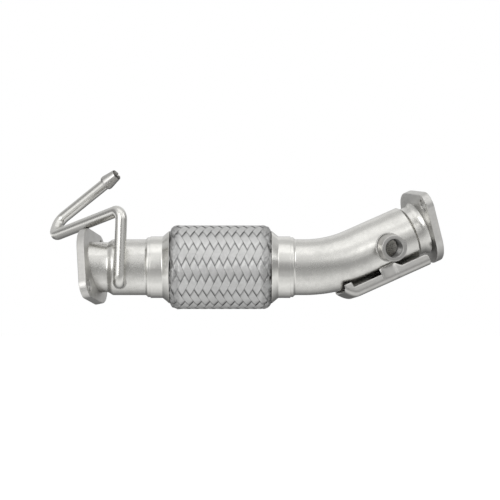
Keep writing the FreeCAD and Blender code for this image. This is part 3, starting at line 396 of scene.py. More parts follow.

# Colour, roughness, width of a scratch line in millimetres (drawn many times too coarse, so that
# it shows), how much longer it is than wide, its height in millimetres, the share by which
# patches darken, and an attribute that is 1 where shade is painted into gaps
FINISHES = {
    # Cold-drawn stainless tube: satin, with fine lines along the tube and faint handling marks
    "drawn_stainless_tube": ("tube", 0.27, 0.5, 12.0, 0.01, 0.16),
    # Thin drawn tube: the same satin, with a finer grain and hardly any marks
    "drawn_stainless_line": ("tube", 0.27, 0.4, 1.0, 0.003, 0.06),
    # Deep-drawn sheet of the collars: smoother, so its reflections are crisper
    "pressed_stainless_sheet": ("sheet", 0.22, 0.4, 6.0, 0.006, 0.08),
    # Stamped plate: dull and slightly grainy all over
    "stamped_steel_plate": ("plate", 0.42, 0.8, 1.0, 0.03, 0.12),
    # Sheet as it leaves the press, duller than the collars
    "pressed_bracket_sheet": ("dull", 0.34, 0.5, 4.0, 0.01, 0.1),
    # Woven wire: pale and dulled by handling; the mesh gives the weave and paints shade into the
    # gaps
    "bright_stainless_wire": ("wire", 0.46, 0.3, 3.0, 0.008, 0.1, "gap"),
    # Brushed weld metal: darker and duller than the tube
    "brushed_weld_bead": ("dull", 0.38, 0.6, 1.0, 0.02, 0.2),
    # Turned steel: darker than the tube and clean, with shade painted down in its bore
    "turned_steel": ("dull", 0.3, 0.3, 1.0, 0.006, 0.1, "gap"),
}
SIGNS = {"+": "ADD", "-": "SUBTRACT", "*": "MULTIPLY", "/": "DIVIDE"}


def add_node(tree, kind, feeds=None, **settings):
    """Adds a node with its settings; a socket, a node's first output or a value feeds an input."""
    node = tree.nodes.new(kind)
    for key, value in settings.items():
        setattr(node, key, value)
    for socket, source in (feeds or {}).items():
        if isinstance(source, bpy.types.Node):
            source = source.outputs[0]
        if isinstance(source, bpy.types.NodeSocket):
            tree.links.new(source, node.inputs[socket])
        else:
            node.inputs[socket].default_value = source
    return node


def reckon(tree, known, sums):
    """Adds Math nodes for lines such as "c = a + b", "d = a * b + c" and "e = MAXIMUM a b"."""
    for line in sums.splitlines():
        if " = " not in line:
            continue
        name, _, *words = line.split()
        if words[0].isupper():
            operation, *terms = words
        else:
            operation = "MULTIPLY_ADD" if len(words) == 5 else SIGNS[words[1]]
            terms = words[::2]
        feeds = {place: known[term] if term in known else float(term)
                 for place, term in enumerate(terms)}
        known[name] = add_node(tree, "ShaderNodeMath", feeds, operation=operation)
    return known


def emptied(owner):
    """The node tree of a material or a world, with nothing in it."""
    owner.use_nodes = True
    owner.node_tree.nodes.clear()
    return owner.node_tree


def metal(name, tint, roughness, grain, stretch, dent, cloud, shade_in=None):
    """A bare metal: directional grain, faint clouding and a roughness that varies with it."""
    material = bpy.data.materials.new(name)
    tree = emptied(material)
    place = add_node(tree, "ShaderNodeTexCoord").outputs["Object"]
    lines = add_node(tree, "ShaderNodeMapping", {"Vector": place, "Scale": (1 / stretch, 1.0, 1.0)})
    grit, patch, fleck = (
        add_node(tree, "ShaderNodeTexNoise", {"Vector": source, "Scale": 1 / (size * MM),
                                              "Detail": detail, "Roughness": mix})
        for source, size, detail, mix in ((lines, grain * 2, 3.0, 0.6),
                                          (place, PATCH_SIZE, 4.0, 0.55),
                                          (place, FLECK_SIZE, 5.0, 0.7))
    )
    known = reckon(tree, {"patch": patch, "fleck": fleck}, "both = patch + fleck")
    shade, rough = (
        add_node(tree, "ShaderNodeMapRange", {"Value": known["both"], "From Min": low,
                                              "From Max": high, "To Min": start, "To Max": end})
        for low, high, start, end in ((0.75, 1.25, 1.0 - cloud, 1.0),
                                      (0.7, 1.3, roughness + 0.05, roughness - 0.04))
    )
    darker = [shade]
    # Painted shade: an attribute darkens the colour where it marks a gap
    if shade_in:
        gap = add_node(tree, "ShaderNodeAttribute", attribute_name=shade_in)
        darker.append(add_node(tree, "ShaderNodeMapRange", {"Value": gap.outputs["Fac"],
                                                            "To Min": 1.0, "To Max": GAP_LIGHT}))
    tinted = (*tint, 1.0)
    for share in darker:
        tinted = add_node(tree, "ShaderNodeMix", {0: 1.0, 6: tinted, 7: share},
                          data_type="RGBA", blend_type="MULTIPLY").outputs[2]
    bump = add_node(tree, "ShaderNodeBump", {"Height": grit, "Strength": 0.35,
                                             "Distance": dent * MM})
    surface = add_node(tree, "ShaderNodeBsdfPrincipled", {
        "Base Color": tinted, "Roughness": rough, "Metallic": 1.0, "Normal": bump,
    })
    add_node(tree, "ShaderNodeOutputMaterial", {"Surface": surface})
    return material


def finish(name):
    """One of the finishes, made when the first piece asks for it."""
    tint, *recipe = FINISHES[name]
    tint = getattr(bpy.context.scene.exhaust_finishes, tint)
    return bpy.data.materials.get(name) or metal(name, tint, *recipe)


def dress(piece, finish_name, node):
    """Gives a piece its material, slot and body, and hides the CAD node it stands for."""
    piece.data.materials.clear()
    piece.data.materials.append(finish(finish_name))
    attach(piece, "root")
    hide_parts(node)


# Flanges and pipes

def arc(across, height, radius, start, end, steps):
    """Points on an arc round a centre, with both its ends."""
    bearings = [start + (end - start) * step / steps for step in range(steps + 1)]
    return [(across + radius * math.cos(bearing), height + radius * math.sin(bearing))
            for bearing in bearings]


def flange_outline(sizes, steps=48):
    """Round middle and two round ears, as (across, towards the ear) in millimetres."""
    middle, ear, reach = sizes.flange_radius, sizes.ear_radius, sizes.bolt_reach
    flank = math.asin((middle - ear) / reach)
    arcs = ((0.0, middle, -flank, flank), (reach, ear, flank, math.pi - flank),
            (0.0, middle, math.pi - flank, math.pi + flank),
            (-reach, ear, math.pi + flank, TAU - flank))
    return [point for edge in arcs for point in arc(0.0, *edge, steps)]


def circle(radius, height=0.0, steps=72):
    """A round loop."""
    return [(radius * cosine, height + radius * sine) for sine, cosine in spokes(steps)]


def flange(side, pipe_axis):
    """A plate with rounded edges, its bore slanted to follow the pipe."""
    sizes = sizes_of("pipes")
    name, frame = f"{side}_flange_plate", flange_frame(side)
    bore, bolt, reach = sizes.neck_radius + BORE_PLAY, sizes.bolt_radius, sizes.bolt_reach
    curve = bpy.data.curves.new(name, "CURVE")
    curve.dimensions = "2D"
    curve.fill_mode = "BOTH"
    curve.extrude = (sizes.flange_thickness / 2 - sizes.edge) * MM
    curve.bevel_depth = sizes.edge * MM
    curve.bevel_resolution = 2
    curve.offset = -sizes.edge * MM
    for places in (flange_outline(sizes), circle(bolt, reach), circle(bolt, -reach),
                   circle(bore, steps=120)):
        loop = curve.splines.new("POLY")
        loop.points.add(len(places) - 1)
        for point, (across, ahead) in zip(loop.points, places):
            point.co = (across * MM, ahead * MM, 0.0, 1.0)
        loop.use_cyclic_u = True
    flat = add_object(f"{name}_flat", curve)
    graph = bpy.context.evaluated_depsgraph_get()
    mesh = bpy.data.meshes.new_from_object(flat.evaluated_get(graph))
    bpy.data.objects.remove(flat)
    local_axis = frame.to_3x3().inverted() @ Vector(pipe_axis)
    slide = Vector((0.0, local_axis.y, local_axis.z)) / abs(local_axis.x)
    stretch = math.sqrt(1 + slide.length_squared) - 1
    points = []
    for vertex in mesh.vertices:
        across, ahead, depth = (value / MM for value in vertex.co)
        place = Vector((sizes.flange_thickness / 2 + depth, across, ahead))
        if math.hypot(across, ahead) < bore + sizes.edge * 1.5:
            slant = slide.normalized()
            place += slant * place.dot(slant) * stretch + slide * place.x
        points.append(frame @ place)
    faces = [tuple(face.vertices) for face in mesh.polygons]
    plate = smooth(new_object(name, points, faces, closed=True), 40)
    weighted = plate.modifiers.new("even_normals", "WEIGHTED_NORMAL")
    weighted.keep_sharp = True
    return settle(plate)


def oblique_ring(radius, depth, steps):
    """A ring on the inlet pipe, parallel to the oblique sealing face and a depth behind it."""
    normal = -mount_place("inlet_bolts")[1]
    places = []
    for sine, cosine in spokes(steps):
        across, upward = -radius * sine, radius * cosine
        station = (depth - normal.y * across - normal.z * upward) / normal.x
        places.append(Vector((station, across, upward)))
    return places


def swage(start, end, low, high, steps=8):
    """Stations and radii of a smooth step from one radius to another."""
    places = []
    for step in range(steps + 1):
        share = step / steps
        ease = share * share * (3 - 2 * share)
        places.append((start + (end - start) * share, low + (high - low) * ease))
    return places


def inlet_pipe(steps=160):
    """The stub pipe from the oblique flange into its sleeve, drilled for the pressure pipe."""
    sizes = sizes_of("pipes")
    neck, wall = sizes.neck_radius, sizes.wall
    start, end = sizes.inlet_neck, sizes.inlet_neck + sizes.inlet_cone
    # A few rings beside the swage keep its shading even
    run = [(start - 6.0, neck)] + swage(start, end, neck, sizes.radius, 10)
    run += [(station, sizes.radius) for station in (end + 0.8, end + 8.0, sizes.inlet_end)]
    frame = Matrix.Identity(4)
    rings = [oblique_ring(neck, sizes.recess, steps)]
    rings += [ring(frame, station, size, steps) for station, size in run]
    rings += [ring(frame, station, size - wall, steps) for station, size in reversed(run)]
    rings.append(oblique_ring(neck - wall, sizes.recess, steps))
    foot = at(LINE_CORNERS[0][0], (0, -1, 0), (0, 0, 1))
    drill = plug("foot_drill", foot, -6.0, 12.0, FOOT_DRILL)
    return smooth(carve(loft("inlet_pipe_drawn", rings), drill))


def outlet_path(sizes, steps=32):
    """Frames along the outlet pipe's axis to the end of the bend, and the length left there."""
    axis = leg_axis()
    side = Vector((0, axis.y, axis.z)).normalized()
    turn, bend = math.acos(axis.x), sizes.bend_radius
    tangent = bend * math.tan(turn / 2)
    bend_start = sizes.bend_station - tangent
    frames = [at((station, 0, 0), (1, 0, 0), side) for station in (sizes.outlet_start, bend_start)]
    center = Vector((bend_start, 0, 0)) + side * bend
    for step in range(1, steps + 1):
        bearing = turn * step / steps
        ahead = Vector((math.cos(bearing), 0, 0)) + side * math.sin(bearing)
        inward = side * math.cos(bearing) - Vector((math.sin(bearing), 0, 0))
        frames.append(at(center - inward * bend, ahead, inward))
    return frames, sizes.leg - tangent


def outlet_pipe(steps=160):
    """The bent pipe, swaged to a neck that flares out to its flange."""
    sizes = sizes_of("pipes")
    radius, wall, neck = sizes.radius, sizes.wall, sizes.neck_radius
    frames, remaining = outlet_path(sizes)
    neck_start = remaining - sizes.outlet_neck
    cone_start = neck_start - sizes.outlet_cone
    back_face = remaining - sizes.flange_thickness
    run = [(cone_start * share, radius) for share in (0.1, 0.5, 0.9)]
    run += [(cone_start - 0.8, radius)] + swage(cone_start, neck_start, radius, neck)
    flare_start = back_face - FLARE_LENGTH
    run += [(neck_start + 0.6, neck), (flare_start, neck)]
    run += [(flare_start + (FLARE_LENGTH - 0.1) * share, neck + sizes.flare * share ** 2.2)
            for share in (0.25, 0.5, 0.7, 0.85, 0.95, 1.0)]
    run += [(back_face + 0.3, neck), (remaining - sizes.recess, neck)]
    outer = [ring(frame, 0, radius, steps) for frame in frames]
    outer += [ring(frames[-1], station, size, steps) for station, size in run]
    inner = [ring(frame, 0, radius - wall, steps) for frame in frames]
    inner += [ring(frames[-1], station, min(size, neck if station > neck_start else size) - wall,
                   steps) for station, size in run]
    pipe = loft("outlet_pipe_bent", outer + inner[::-1])
    drill = plug("sensor_drill", boss_frame(), 12.0, 34.0, sizes_of("fittings").boss_bore)
    return smooth(carve(pipe, drill))


# Pressure pipe and fittings

def bent_run(corners, arc_steps=14):
    """Frames along straight runs joined by round bends; each corner has its own radius."""
    places = [Vector(corners[0][0])]
    for (before, _), (corner, radius), (after, _) in zip(corners, corners[1:], corners[2:]):
        corner = Vector(corner)
        arrive = (corner - Vector(before)).normalized()
        leave = (Vector(after) - corner).normalized()
        turn = arrive.angle(leave)
        center = corner + (leave - arrive).normalized() * (radius / math.cos(turn / 2))
        outward = corner - arrive * (radius * math.tan(turn / 2)) - center
        axis = arrive.cross(leave).normalized()
        for step in range(arc_steps + 1):
            places.append(center + Matrix.Rotation(turn * step / arc_steps, 3, axis) @ outward)
    places.append(Vector(corners[-1][0]))
    up = Vector((0.3, 0.2, 1.0))
    frames = []
    for index, place in enumerate(places):
        ahead = places[min(index + 1, len(places) - 1)] - places[max(index - 1, 0)]
        frames.append(at(place, ahead, up))
        up = frames[-1].to_3x3().col[2]
    return frames


def pressure_pipe(steps=48):
    """The thin bent tube from the inlet pipe's wall up to the nipple."""
    sizes = sizes_of("fittings")
    outer, inner = sizes.line_radius, sizes.line_radius - sizes.line_wall
    tip, outward = mount_place("hose_nipple")
    frames = bent_run(LINE_CORNERS + ((tip - outward * NIPPLE_SEAT, 0.0),))
    rings = [ring(frame, 0, outer, steps) for frame in frames]
    rings += [ring(frame, 0, inner, steps) for frame in reversed(frames)]
    return smooth(loft("pressure_pipe_bent", rings))


def sensor_boss():
    """The turned boss with its thread cut in the bore, its foot shaped to the pipe."""
    sizes = sizes_of("fittings")
    outer, core, top, pitch = (sizes.boss_radius, sizes.boss_bore, sizes.boss_height,
                               sizes.thread_pitch)
    thread_start = BOSS_FOOT + 1.5
    outline = [(BOSS_FOOT, core), (thread_start, core)]
    for turn in range(int((top - 1.2 - thread_start) / pitch)):
        start = thread_start + turn * pitch
        outline += [(start + pitch * share, core + depth)
                    for share, depth in ((0.12, 0.0), (0.45, THREAD_DEPTH), (0.57, THREAD_DEPTH),
                                         (0.9, 0.0))]
    outline += [(top - 1.0, core), (top, core + 0.9)]
    rim = ((top, outer - 2.0, 0.0), (top, outer, 1.1), (top - 3.0, outer, 0.0))
    outline += soften(rim, 1.0)[1:]
    outline.append((BOSS_FOOT, outer))
    boss = lathe("sensor_boss_turned", boss_frame(), outline, 120)
    leg_frame = at(mount_place("outlet_bolts")[0], leg_axis(), (0, 0, 1))
    carve(boss, plug("leg_core", leg_frame, -95.0, 20.0, sizes_of("pipes").radius, 160))
    # Shade painted down in the threaded bore, through an attribute that darkens the colour
    to_boss = boss_frame().inverted()
    shade = boss.data.attributes.new("gap", "FLOAT", "POINT")
    for point, spot in zip(boss.data.vertices, shade.data):
        place = to_boss @ (point.co / MM)
        in_bore = math.hypot(place.y, place.z) < core + 0.85 and place.x < top - 0.5
        spot.value = 0.8 if in_bore else 0.0
    return smooth(boss, 30)


def clamped(value):
    """A number kept between 0 and 1."""
    return min(max(value, 0.0), 1.0)


def wall_top(station):
    """Height of the channel's walls at a distance behind its near end."""
    for (start, low), (end, high) in zip(WALL_TOPS, WALL_TOPS[1:]):
        if station <= end:
            break
    return low + (high - low) * (station - start) / (end - start)


def bracket():
    """The pressed channel: bent sheet with a tab up to the pipe on each side and a closed end."""
    sizes = sizes_of("fittings")
    half, fold = sizes.bracket_half, sizes.fold
    frame = bracket_frame()
    points = []
    for station in BRACKET_STATIONS:
        top = wall_top(station)
        rise = max(station - CLOSED_END, 0.0) / 11.0
        floor = rise ** 1.8 * 8.4 - sizes.bracket_drop
        side = half + (TAB_PROUD * clamped((station - TAB_START) / 1.5)
                       * clamped((TAB_END - station) / 0.9))
        section = [(-side, top + (floor + fold - top) * share) for share in (0.0, 0.35, 0.7)]
        section += arc(-side + fold, floor + fold, fold, math.pi, math.pi * 1.5, 6)
        section += [(-half * 0.4, floor), (0.0, floor)]
        section += [(-across, height) for across, height in reversed(section[:-1])]
        points += [frame @ Vector((-station, across, height)) for across, height in section]
    faces = skin(len(BRACKET_STATIONS), len(section), closed=False)
    channel = new_object("support_bracket_pressed", points, faces)
    thick = channel.modifiers.new("sheet", "SOLIDIFY")
    thick.thickness = sizes.sheet * MM
    thick.offset = -1.0
    thick.use_even_offset = True
    edge = channel.modifiers.new("edge", "BEVEL")
    edge.width = 0.35 * MM
    edge.segments = 2
    edge.limit_method = "ANGLE"
    edge.angle_limit = math.radians(50)
    return smooth(settle(channel))


# Inside the flex joint

def bellows():
    """The gas-tight tube with round folds and a cylindrical neck at both ends."""
    half = sizes_of("flex").half + INSIDE_END
    folds, pitch, crest, root, wall, fold_steps = 9, 9.0, 38.0, 28.5, 1.0, 12
    neck, neck_bore = 27.0, 26.2
    outer = [(-half, neck)]
    for step in range(folds * fold_steps + 1):
        along = step * pitch / fold_steps
        swing = (1 - math.cos(TAU * along / pitch)) / 2
        outer.append((along - folds * pitch / 2, root + (crest - root) * swing ** 0.8))
    outer.append((half, neck))
    inner = [(half, neck_bore)] + [(station, radius - wall) for station, radius in outer[-2:0:-1]]
    inner.append((-half, neck_bore))
    return smooth(lathe("flex_bellows_folded", joint_frame(), outer + inner, 96))


def liner():
    """The interlocked inner hose: a strip wound in flat turns with a groove between each."""
    half = sizes_of("flex").half + INSIDE_END
    pitch, bore, groove, outside = 4.2, 24.9, 25.4, 26.05
    outline = [(-half, bore)]
    for turn in range(int(2 * half / pitch)):
        start = -half + turn * pitch
        outline += [(start + pitch * share, radius) for share, radius in
                    ((0.1, bore), (0.72, bore), (0.78, groove), (0.98, groove))]
    outline += [(half, bore), (half, outside), (-half, outside)]
    return smooth(lathe("flex_liner_wound", joint_frame(), outline, 96))


# Geometry Nodes

BRAID_ROWS = 165        # rows of points along a band
BRAID_LOOK = {
    "under_reach": 0.94,    # how far the underside reaches to a band's edge
    "dive_early": 0.2, "dive_slope": 2.7,           # where and how steeply a float dives
    "clamp_start": 0.0382, "clamp_rise": 330.0,     # metres from the middle, and share a metre
    # The shades below are painted into the wire's colour through an attribute
    "clamp_grey": 0.3, "clamp_flat": -0.62,         # shade under the clamp, and contrast lost there
    "dip_slope": -0.9, "dip_shade": 0.35,           # shade of a band by how deep it lies
    "edge_start": 0.44, "edge_slope": -10.0, "edge_shade": 12.0,    # shade at a band's edges
    "wrinkle_middle": 0.55, "pi": math.pi, "half_pi": math.pi / 2,
}
BAND_COLUMNS = """
top = wires * 3
loop = top + 3
columns = loop + 1
"""
# Gathered and crushed where the collars clamp it, with shade painted on under the clamp
# How deep a spot lies between the bands, for the shade painted into the gaps
BAND_WEAVE = """
# Column number round the band's section: its wires on top, two columns underneath
share = flat_y + 0.5
column_raw = share * loop
column_round = ROUND column_raw
column = MODULO column_round loop
top_edge = top + 0.5
is_top = LESS_THAN column top_edge
not_top = 1 - is_top
top_share = column / top
top_side = top_share - 0.5
top_part = top_side * is_top
under_edge = top + 1.5
under_step = under_edge - column
under_side = under_step * under_reach
side = under_side * not_top + top_part
spread = side * cover
# Round back of each wire
third = column / 3
wire_share = FRACT third
wire_turn = wire_share * pi
wire_round = SINE wire_turn
wire_lift = wire_round * wire_height
ridge = wire_lift * is_top
under = not_top * thickness
skin = ridge - under
# Distance along the profile, counted in crossings from a crossing in the middle
ahead = flat_x + 0.5
run = ahead * total
mid = total * 0.5
from_mid = run - mid
from_crossing = from_mid - offset
half_pitch = pitch * 0.5
crossings = from_crossing / half_pitch
wound = crossings * direction
start = band * 2
center = start + wound
weave = center + spread
# Over two crossings and under two, diving at the ends of each float
weave_shift = weave - 0.5
weave_turn = weave_shift * half_pi
wave = COSINE weave_turn
signed = wave * direction
short = signed - dive_early
steep = short * dive_slope
low = MAXIMUM steep -1
level = MINIMUM low 1
pressed = level * lift + skin
# Gathered and crushed where the collars clamp it
from_end = ABSOLUTE from_mid
gather_run = from_end - clamp_start
gather_share = gather_run * clamp_rise
gather_low = MAXIMUM gather_share 0
gather = MINIMUM gather_low 1
grey = gather * clamp_grey
# How deep a spot lies between the bands, for the shade in the gaps
depth_raw = level * dip_slope + dip_shade
depth_low = MAXIMUM depth_raw 0
depth = MINIMUM depth_low 1
side_far = ABSOLUTE side
side_near = side_far - edge_start
side_reach = level * edge_slope + edge_shade
side_shade = side_near * side_reach
gap_raw = MAXIMUM depth side_shade
gap_dark = MINIMUM gap_raw 1
flattened = gather * clamp_flat
flat_share = flattened + 1
gap = gap_dark * flat_share + grey
# Turn about the joint
place_turn = spread * 2 + center
step_turn = pi / bands
turn = place_turn * step_turn + phase
sine = SINE turn
cosine = COSINE turn
"""
BAND_BEND = """
crease_mid = wrinkle - wrinkle_middle
crease_depth = crease_mid * creases
crease = crease_depth * gather
height = pressed + crease
lean = height * slope_r
x = spot_x - lean
radius = height * slope_x + spot_r
y_near = radius * sine
y = y_near * -1
z = radius * cosine
"""


def node_tree(name, floats, whole):
    """A geometry tree with named inputs, and its inputs by plain name."""
    tree = bpy.data.node_groups.new(name, "GeometryNodeTree")
    sockets = [("Geometry", "Geometry")] + [(title, "Float") for title in floats]
    sockets += [(title, "Int") for title in whole] + [("Material", "Material")]
    for title, kind in sockets:
        tree.interface.new_socket(name=title, in_out="INPUT", socket_type=f"NodeSocket{kind}")
    tree.interface.new_socket(name="Geometry", in_out="OUTPUT", socket_type="NodeSocketGeometry")
    given = add_node(tree, "NodeGroupInput").outputs
    return tree, {socket.name.lower().replace(" ", "_"): socket for socket in given}


def hand_out(tree, known, shape):
    """Ends a geometry tree: gives the shape its material and hands it out."""
    final = add_node(tree, "GeometryNodeSetMaterial", {"Geometry": shape,
                                                       "Material": known["material"]})
    add_node(tree, "NodeGroupOutput", {0: final})
    return tree


def grow(piece, tree, values):
    """Runs a geometry tree on a piece with values for its inputs, and keeps the plain mesh."""
    made = piece.modifiers.new(tree.name, "NODES")
    made.node_group = tree
    for item in tree.interface.items_tree:
        if item.item_type == "SOCKET" and item.in_out == "INPUT" and item.name in values:
            made[item.identifier] = values[item.name]
    return settle(piece)


def braid_tree():
    """Bands of parallel wires wound one way round a profile, over two bands and under two.

    The profile is the mesh line that the tree is given: station along X and radius along Z.
    """
    tree, known = node_tree("braid_bands", (
        "Direction", "Pitch", "Phase", "Offset", "Lift", "Cover", "Wire Height", "Thickness",
        "Creases"), ("Bands", "Wires", "Rows"))
    known.update(BRAID_LOOK)
    profile = add_node(tree, "GeometryNodeMeshToCurve", {"Mesh": known["geometry"]})
    known["total"] = add_node(tree, "GeometryNodeCurveLength", {"Curve": profile})
    reckon(tree, known, BAND_COLUMNS)
    grid = add_node(tree, "GeometryNodeMeshGrid", {
        "Size X": 1.0, "Size Y": 1.0, "Vertices X": known["rows"], "Vertices Y": known["columns"]})
    points = add_node(tree, "GeometryNodePoints", {"Count": known["bands"]})
    copies = add_node(tree, "GeometryNodeInstanceOnPoints", {"Points": points, "Instance": grid})
    index = add_node(tree, "GeometryNodeInputIndex")
    numbered = add_node(tree, "GeometryNodeStoreNamedAttribute", {
        "Geometry": copies, "Name": "band", "Value": index}, data_type="FLOAT", domain="INSTANCE")
    sheet = add_node(tree, "GeometryNodeRealizeInstances", {"Geometry": numbered})
    place = add_node(tree, "GeometryNodeInputPosition")
    flat = add_node(tree, "ShaderNodeSeparateXYZ", {0: place}).outputs
    band = add_node(tree, "GeometryNodeInputNamedAttribute", {"Name": "band"}, data_type="FLOAT")
    known.update(band=band, flat_x=flat[0], flat_y=flat[1])
    reckon(tree, known, BAND_WEAVE)
    # Shade painted into the wire's colour in the gaps, at band edges and under the clamp
    marked = add_node(tree, "GeometryNodeStoreNamedAttribute", {
        "Geometry": sheet, "Name": "gap", "Value": known["gap"]}, data_type="FLOAT", domain="POINT")
    sample = add_node(tree, "GeometryNodeSampleCurve", {"Curves": profile, "Length": known["run"]},
                      mode="LENGTH", use_all_curves=True)
    spot = add_node(tree, "ShaderNodeSeparateXYZ", {0: sample.outputs["Position"]}).outputs
    slope = add_node(tree, "ShaderNodeSeparateXYZ", {0: sample.outputs["Tangent"]}).outputs
    around = add_node(tree, "ShaderNodeCombineXYZ", {0: spot[0], 1: known["sine"],
                                                     2: known["cosine"]})
    scaled = add_node(tree, "ShaderNodeVectorMath", {0: around, 1: (260.0, 10.0, 10.0)},
                      operation="MULTIPLY")
    wrinkle = add_node(tree, "ShaderNodeTexNoise", {"Vector": scaled, "Scale": 1.0, "Detail": 2.0})
    known.update(wrinkle=wrinkle, spot_x=spot[0], spot_r=spot[2], slope_x=slope[0],
                 slope_r=slope[2])
    reckon(tree, known, BAND_BEND)
    bent = add_node(tree, "ShaderNodeCombineXYZ", {0: known["x"], 1: known["y"], 2: known["z"]})
    shaped = add_node(tree, "GeometryNodeSetPosition", {"Geometry": marked, "Position": bent})
    closed = add_node(tree, "GeometryNodeMergeByDistance", {"Geometry": shaped, "Distance": 1e-7})
    return hand_out(tree, known, closed)


def braid_profile():
    """Half section of the braid's middle layer: straight, round shoulder, tuck under the rim."""
    sizes = sizes_of("flex")
    level, half, shoulder = sizes.crown - BRAID_LAYER, sizes.half, sizes.shoulder
    edge = half - sizes.rim_gap - shoulder
    places = [(edge * share / 4, level) for share in range(5)]
    for step in range(1, 11):
        bearing = math.radians(72) * step / 10
        places.append((edge + shoulder * math.sin(bearing),
                       level - shoulder + shoulder * math.cos(bearing)))
    places += [(half + 0.5, 32.3), (half + 2.6, 30.9), (half + 4.6, 29.75)]
    return [(-station, radius) for station, radius in reversed(places[1:])] + places


def braid_bands(name, direction, tree):
    """All the bands that are wound one way."""
    sizes = sizes_of("flex")
    places = [(station, 0, radius) for station, radius in braid_profile()]
    edges = [(place, place + 1) for place in range(len(places) - 1)]
    piece = grow(new_object(name, places, edges=edges), tree, {
        "Direction": direction, "Bands": sizes.bands, "Wires": sizes.wires, "Rows": BRAID_ROWS,
        "Pitch": sizes.pitch * MM, "Phase": sizes.phase, "Offset": sizes.offset * MM,
        "Lift": 0.42 * MM, "Cover": 0.98, "Wire Height": 0.2 * MM, "Thickness": 0.25 * MM,
        "Creases": 3.8 * MM, "Material": finish("bright_stainless_wire"),
    })
    piece.data.transform(Matrix.Translation((sizes.center * MM, 0, 0)))
    mend(piece.data, fill_ends=True)
    return smooth(piece, 60)


def bead_tree():
    """A weld bead: overlapping round scales laid along a line, each a little different."""
    tree, known = node_tree("weld_bead", ("Size", "Step"), ("Seed",))
    line = add_node(tree, "GeometryNodeMeshToCurve", {"Mesh": known["geometry"]})
    spots = add_node(tree, "GeometryNodeCurveToPoints", {"Curve": line, "Length": known["step"]},
                     mode="LENGTH")
    scale = add_node(tree, "GeometryNodeMeshIcoSphere", {"Radius": known["size"],
                                                         "Subdivisions": 3})
    vary = add_node(tree, "FunctionNodeRandomValue", {
        "Seed": known["seed"], 0: (0.88, 0.88, 0.75), 1: (1.08, 1.08, 1.0)},
        data_type="FLOAT_VECTOR")
    laid = add_node(tree, "GeometryNodeInstanceOnPoints", {
        "Points": spots, "Instance": scale, "Rotation": spots.outputs["Rotation"], "Scale": vary})
    return hand_out(tree, known, add_node(tree, "GeometryNodeRealizeInstances",
                                          {"Geometry": laid}))


def bead(name, lines, closed, size, step, seed, tree):
    """A weld bead along lines of points in millimetres."""
    points, edges = [], []
    for line in lines:
        first = len(points)
        points += line
        edges += [(first + spot, first + spot + 1) for spot in range(len(line) - 1)]
        if closed:
            edges.append((first + len(line) - 1, first))
    piece = new_object(name, points, edges=edges)
    return smooth(grow(piece, tree, {"Size": size * MM, "Step": step * MM, "Seed": seed,
                                     "Material": finish("brushed_weld_bead")}), 60)


# Lines that the weld beads follow

def boss_foot(steps=120):
    """The line where the boss meets the outlet pipe."""
    radius, pipe = sizes_of("fittings").boss_radius + 0.35, sizes_of("pipes").radius
    frame = boss_frame()
    places = []
    for sine, cosine in spokes(steps):
        height = math.sqrt(pipe ** 2 - (radius * sine) ** 2) + BEAD_PROUD
        places.append(frame @ Vector((height, -radius * sine, radius * cosine)))
    return places


def line_foot(steps=60):
    """The line where the pressure pipe enters the inlet pipe."""
    radius, pipe = sizes_of("fittings").line_radius + 0.2, sizes_of("pipes").radius
    along, _, upward = LINE_CORNERS[0][0]
    places = []
    for sine, cosine in spokes(steps):
        height = upward + radius * sine
        across = -math.sqrt(pipe ** 2 - height ** 2) - BEAD_PROUD
        places.append(Vector((along + radius * cosine, across, height)))
    return places


def tab_lines():
    """The lines along the tops of the two tabs, where they meet the outlet pipe."""
    frame = bracket_frame()
    return [[frame @ Vector((-station, across, -20.35)) for station in (35.2, 42.0, 49.2)]
            for across in (-17.9, 17.9)]


def recess_ring(side, steps=150):
    """The line of the ring weld between a pipe end and the flange's bore."""
    sizes = sizes_of("pipes")
    neck, depth = sizes.neck_radius - 0.75, sizes.recess - 0.7
    if side == "inlet":
        return oblique_ring(neck, depth, steps)
    return ring(flange_frame(side), depth, neck, steps)


# Operators for the pieces

class EXHAUST_OT_flanges(bpy.types.Operator):
    """Makes both flange plates"""

    bl_idname = "exhaust.flanges"
    bl_label = "Flanges"

    def execute(self, context):
        for side, pipe_axis in (("inlet", (1, 0, 0)), ("outlet", -leg_axis())):
            dress(flange(side, pipe_axis), "stamped_steel_plate", f"{side}_flange")
        return {"FINISHED"}


class EXHAUST_OT_pipes(bpy.types.Operator):
    """Makes the inlet pipe and the bent outlet pipe"""

    bl_idname = "exhaust.pipes"
    bl_label = "Pipes"

    def execute(self, context):
        dress(inlet_pipe(), "drawn_stainless_tube", "inlet_pipe")
        dress(outlet_pipe(), "drawn_stainless_tube", "outlet_pipe")
        return {"FINISHED"}


class EXHAUST_OT_collars(bpy.types.Operator):
    """Makes the collars, sleeves and their welds"""

    bl_idname = "exhaust.collars"
    bl_label = "Collars and sleeves"

    def execute(self, context):
        for side, end in (("inlet", -1), ("outlet", 1)):
            frame = rim_frame(end)
            for part, node, outline, rounding, steps, crease, slot in (
                    ("collar_pressed", "collar", COLLAR, 0.4, 5, 50, "collar_steel"),
                    ("sleeve_lip", "sleeve", SLEEVE, 0.2, 4, 50, "collar_steel"),
                    ("sleeve_bead", "sleeve_weld", SLEEVE_BEAD, 0.2, 4, 60, "weld_bead")):
                piece = lathe(f"{side}_{part}", frame, soften(outline, rounding, steps))
                dress(smooth(piece, crease), "pressed_stainless_sheet", f"{side}_{node}")
        return {"FINISHED"}


class EXHAUST_OT_flex(bpy.types.Operator):
    """Makes the flex joint: braid, bellows and liner"""

    bl_idname = "exhaust.flex"
    bl_label = "Flex joint"

    def execute(self, context):
        tree = braid_tree()
        for name, direction in (("braid_bands_falling", 1.0), ("braid_bands_rising", -1.0)):
            dress(braid_bands(name, direction, tree), "bright_stainless_wire",
                  "flex_braid")
        dress(bellows(), "pressed_stainless_sheet", "flex_bellows")
        dress(liner(), "pressed_stainless_sheet", "flex_liner")
        return {"FINISHED"}


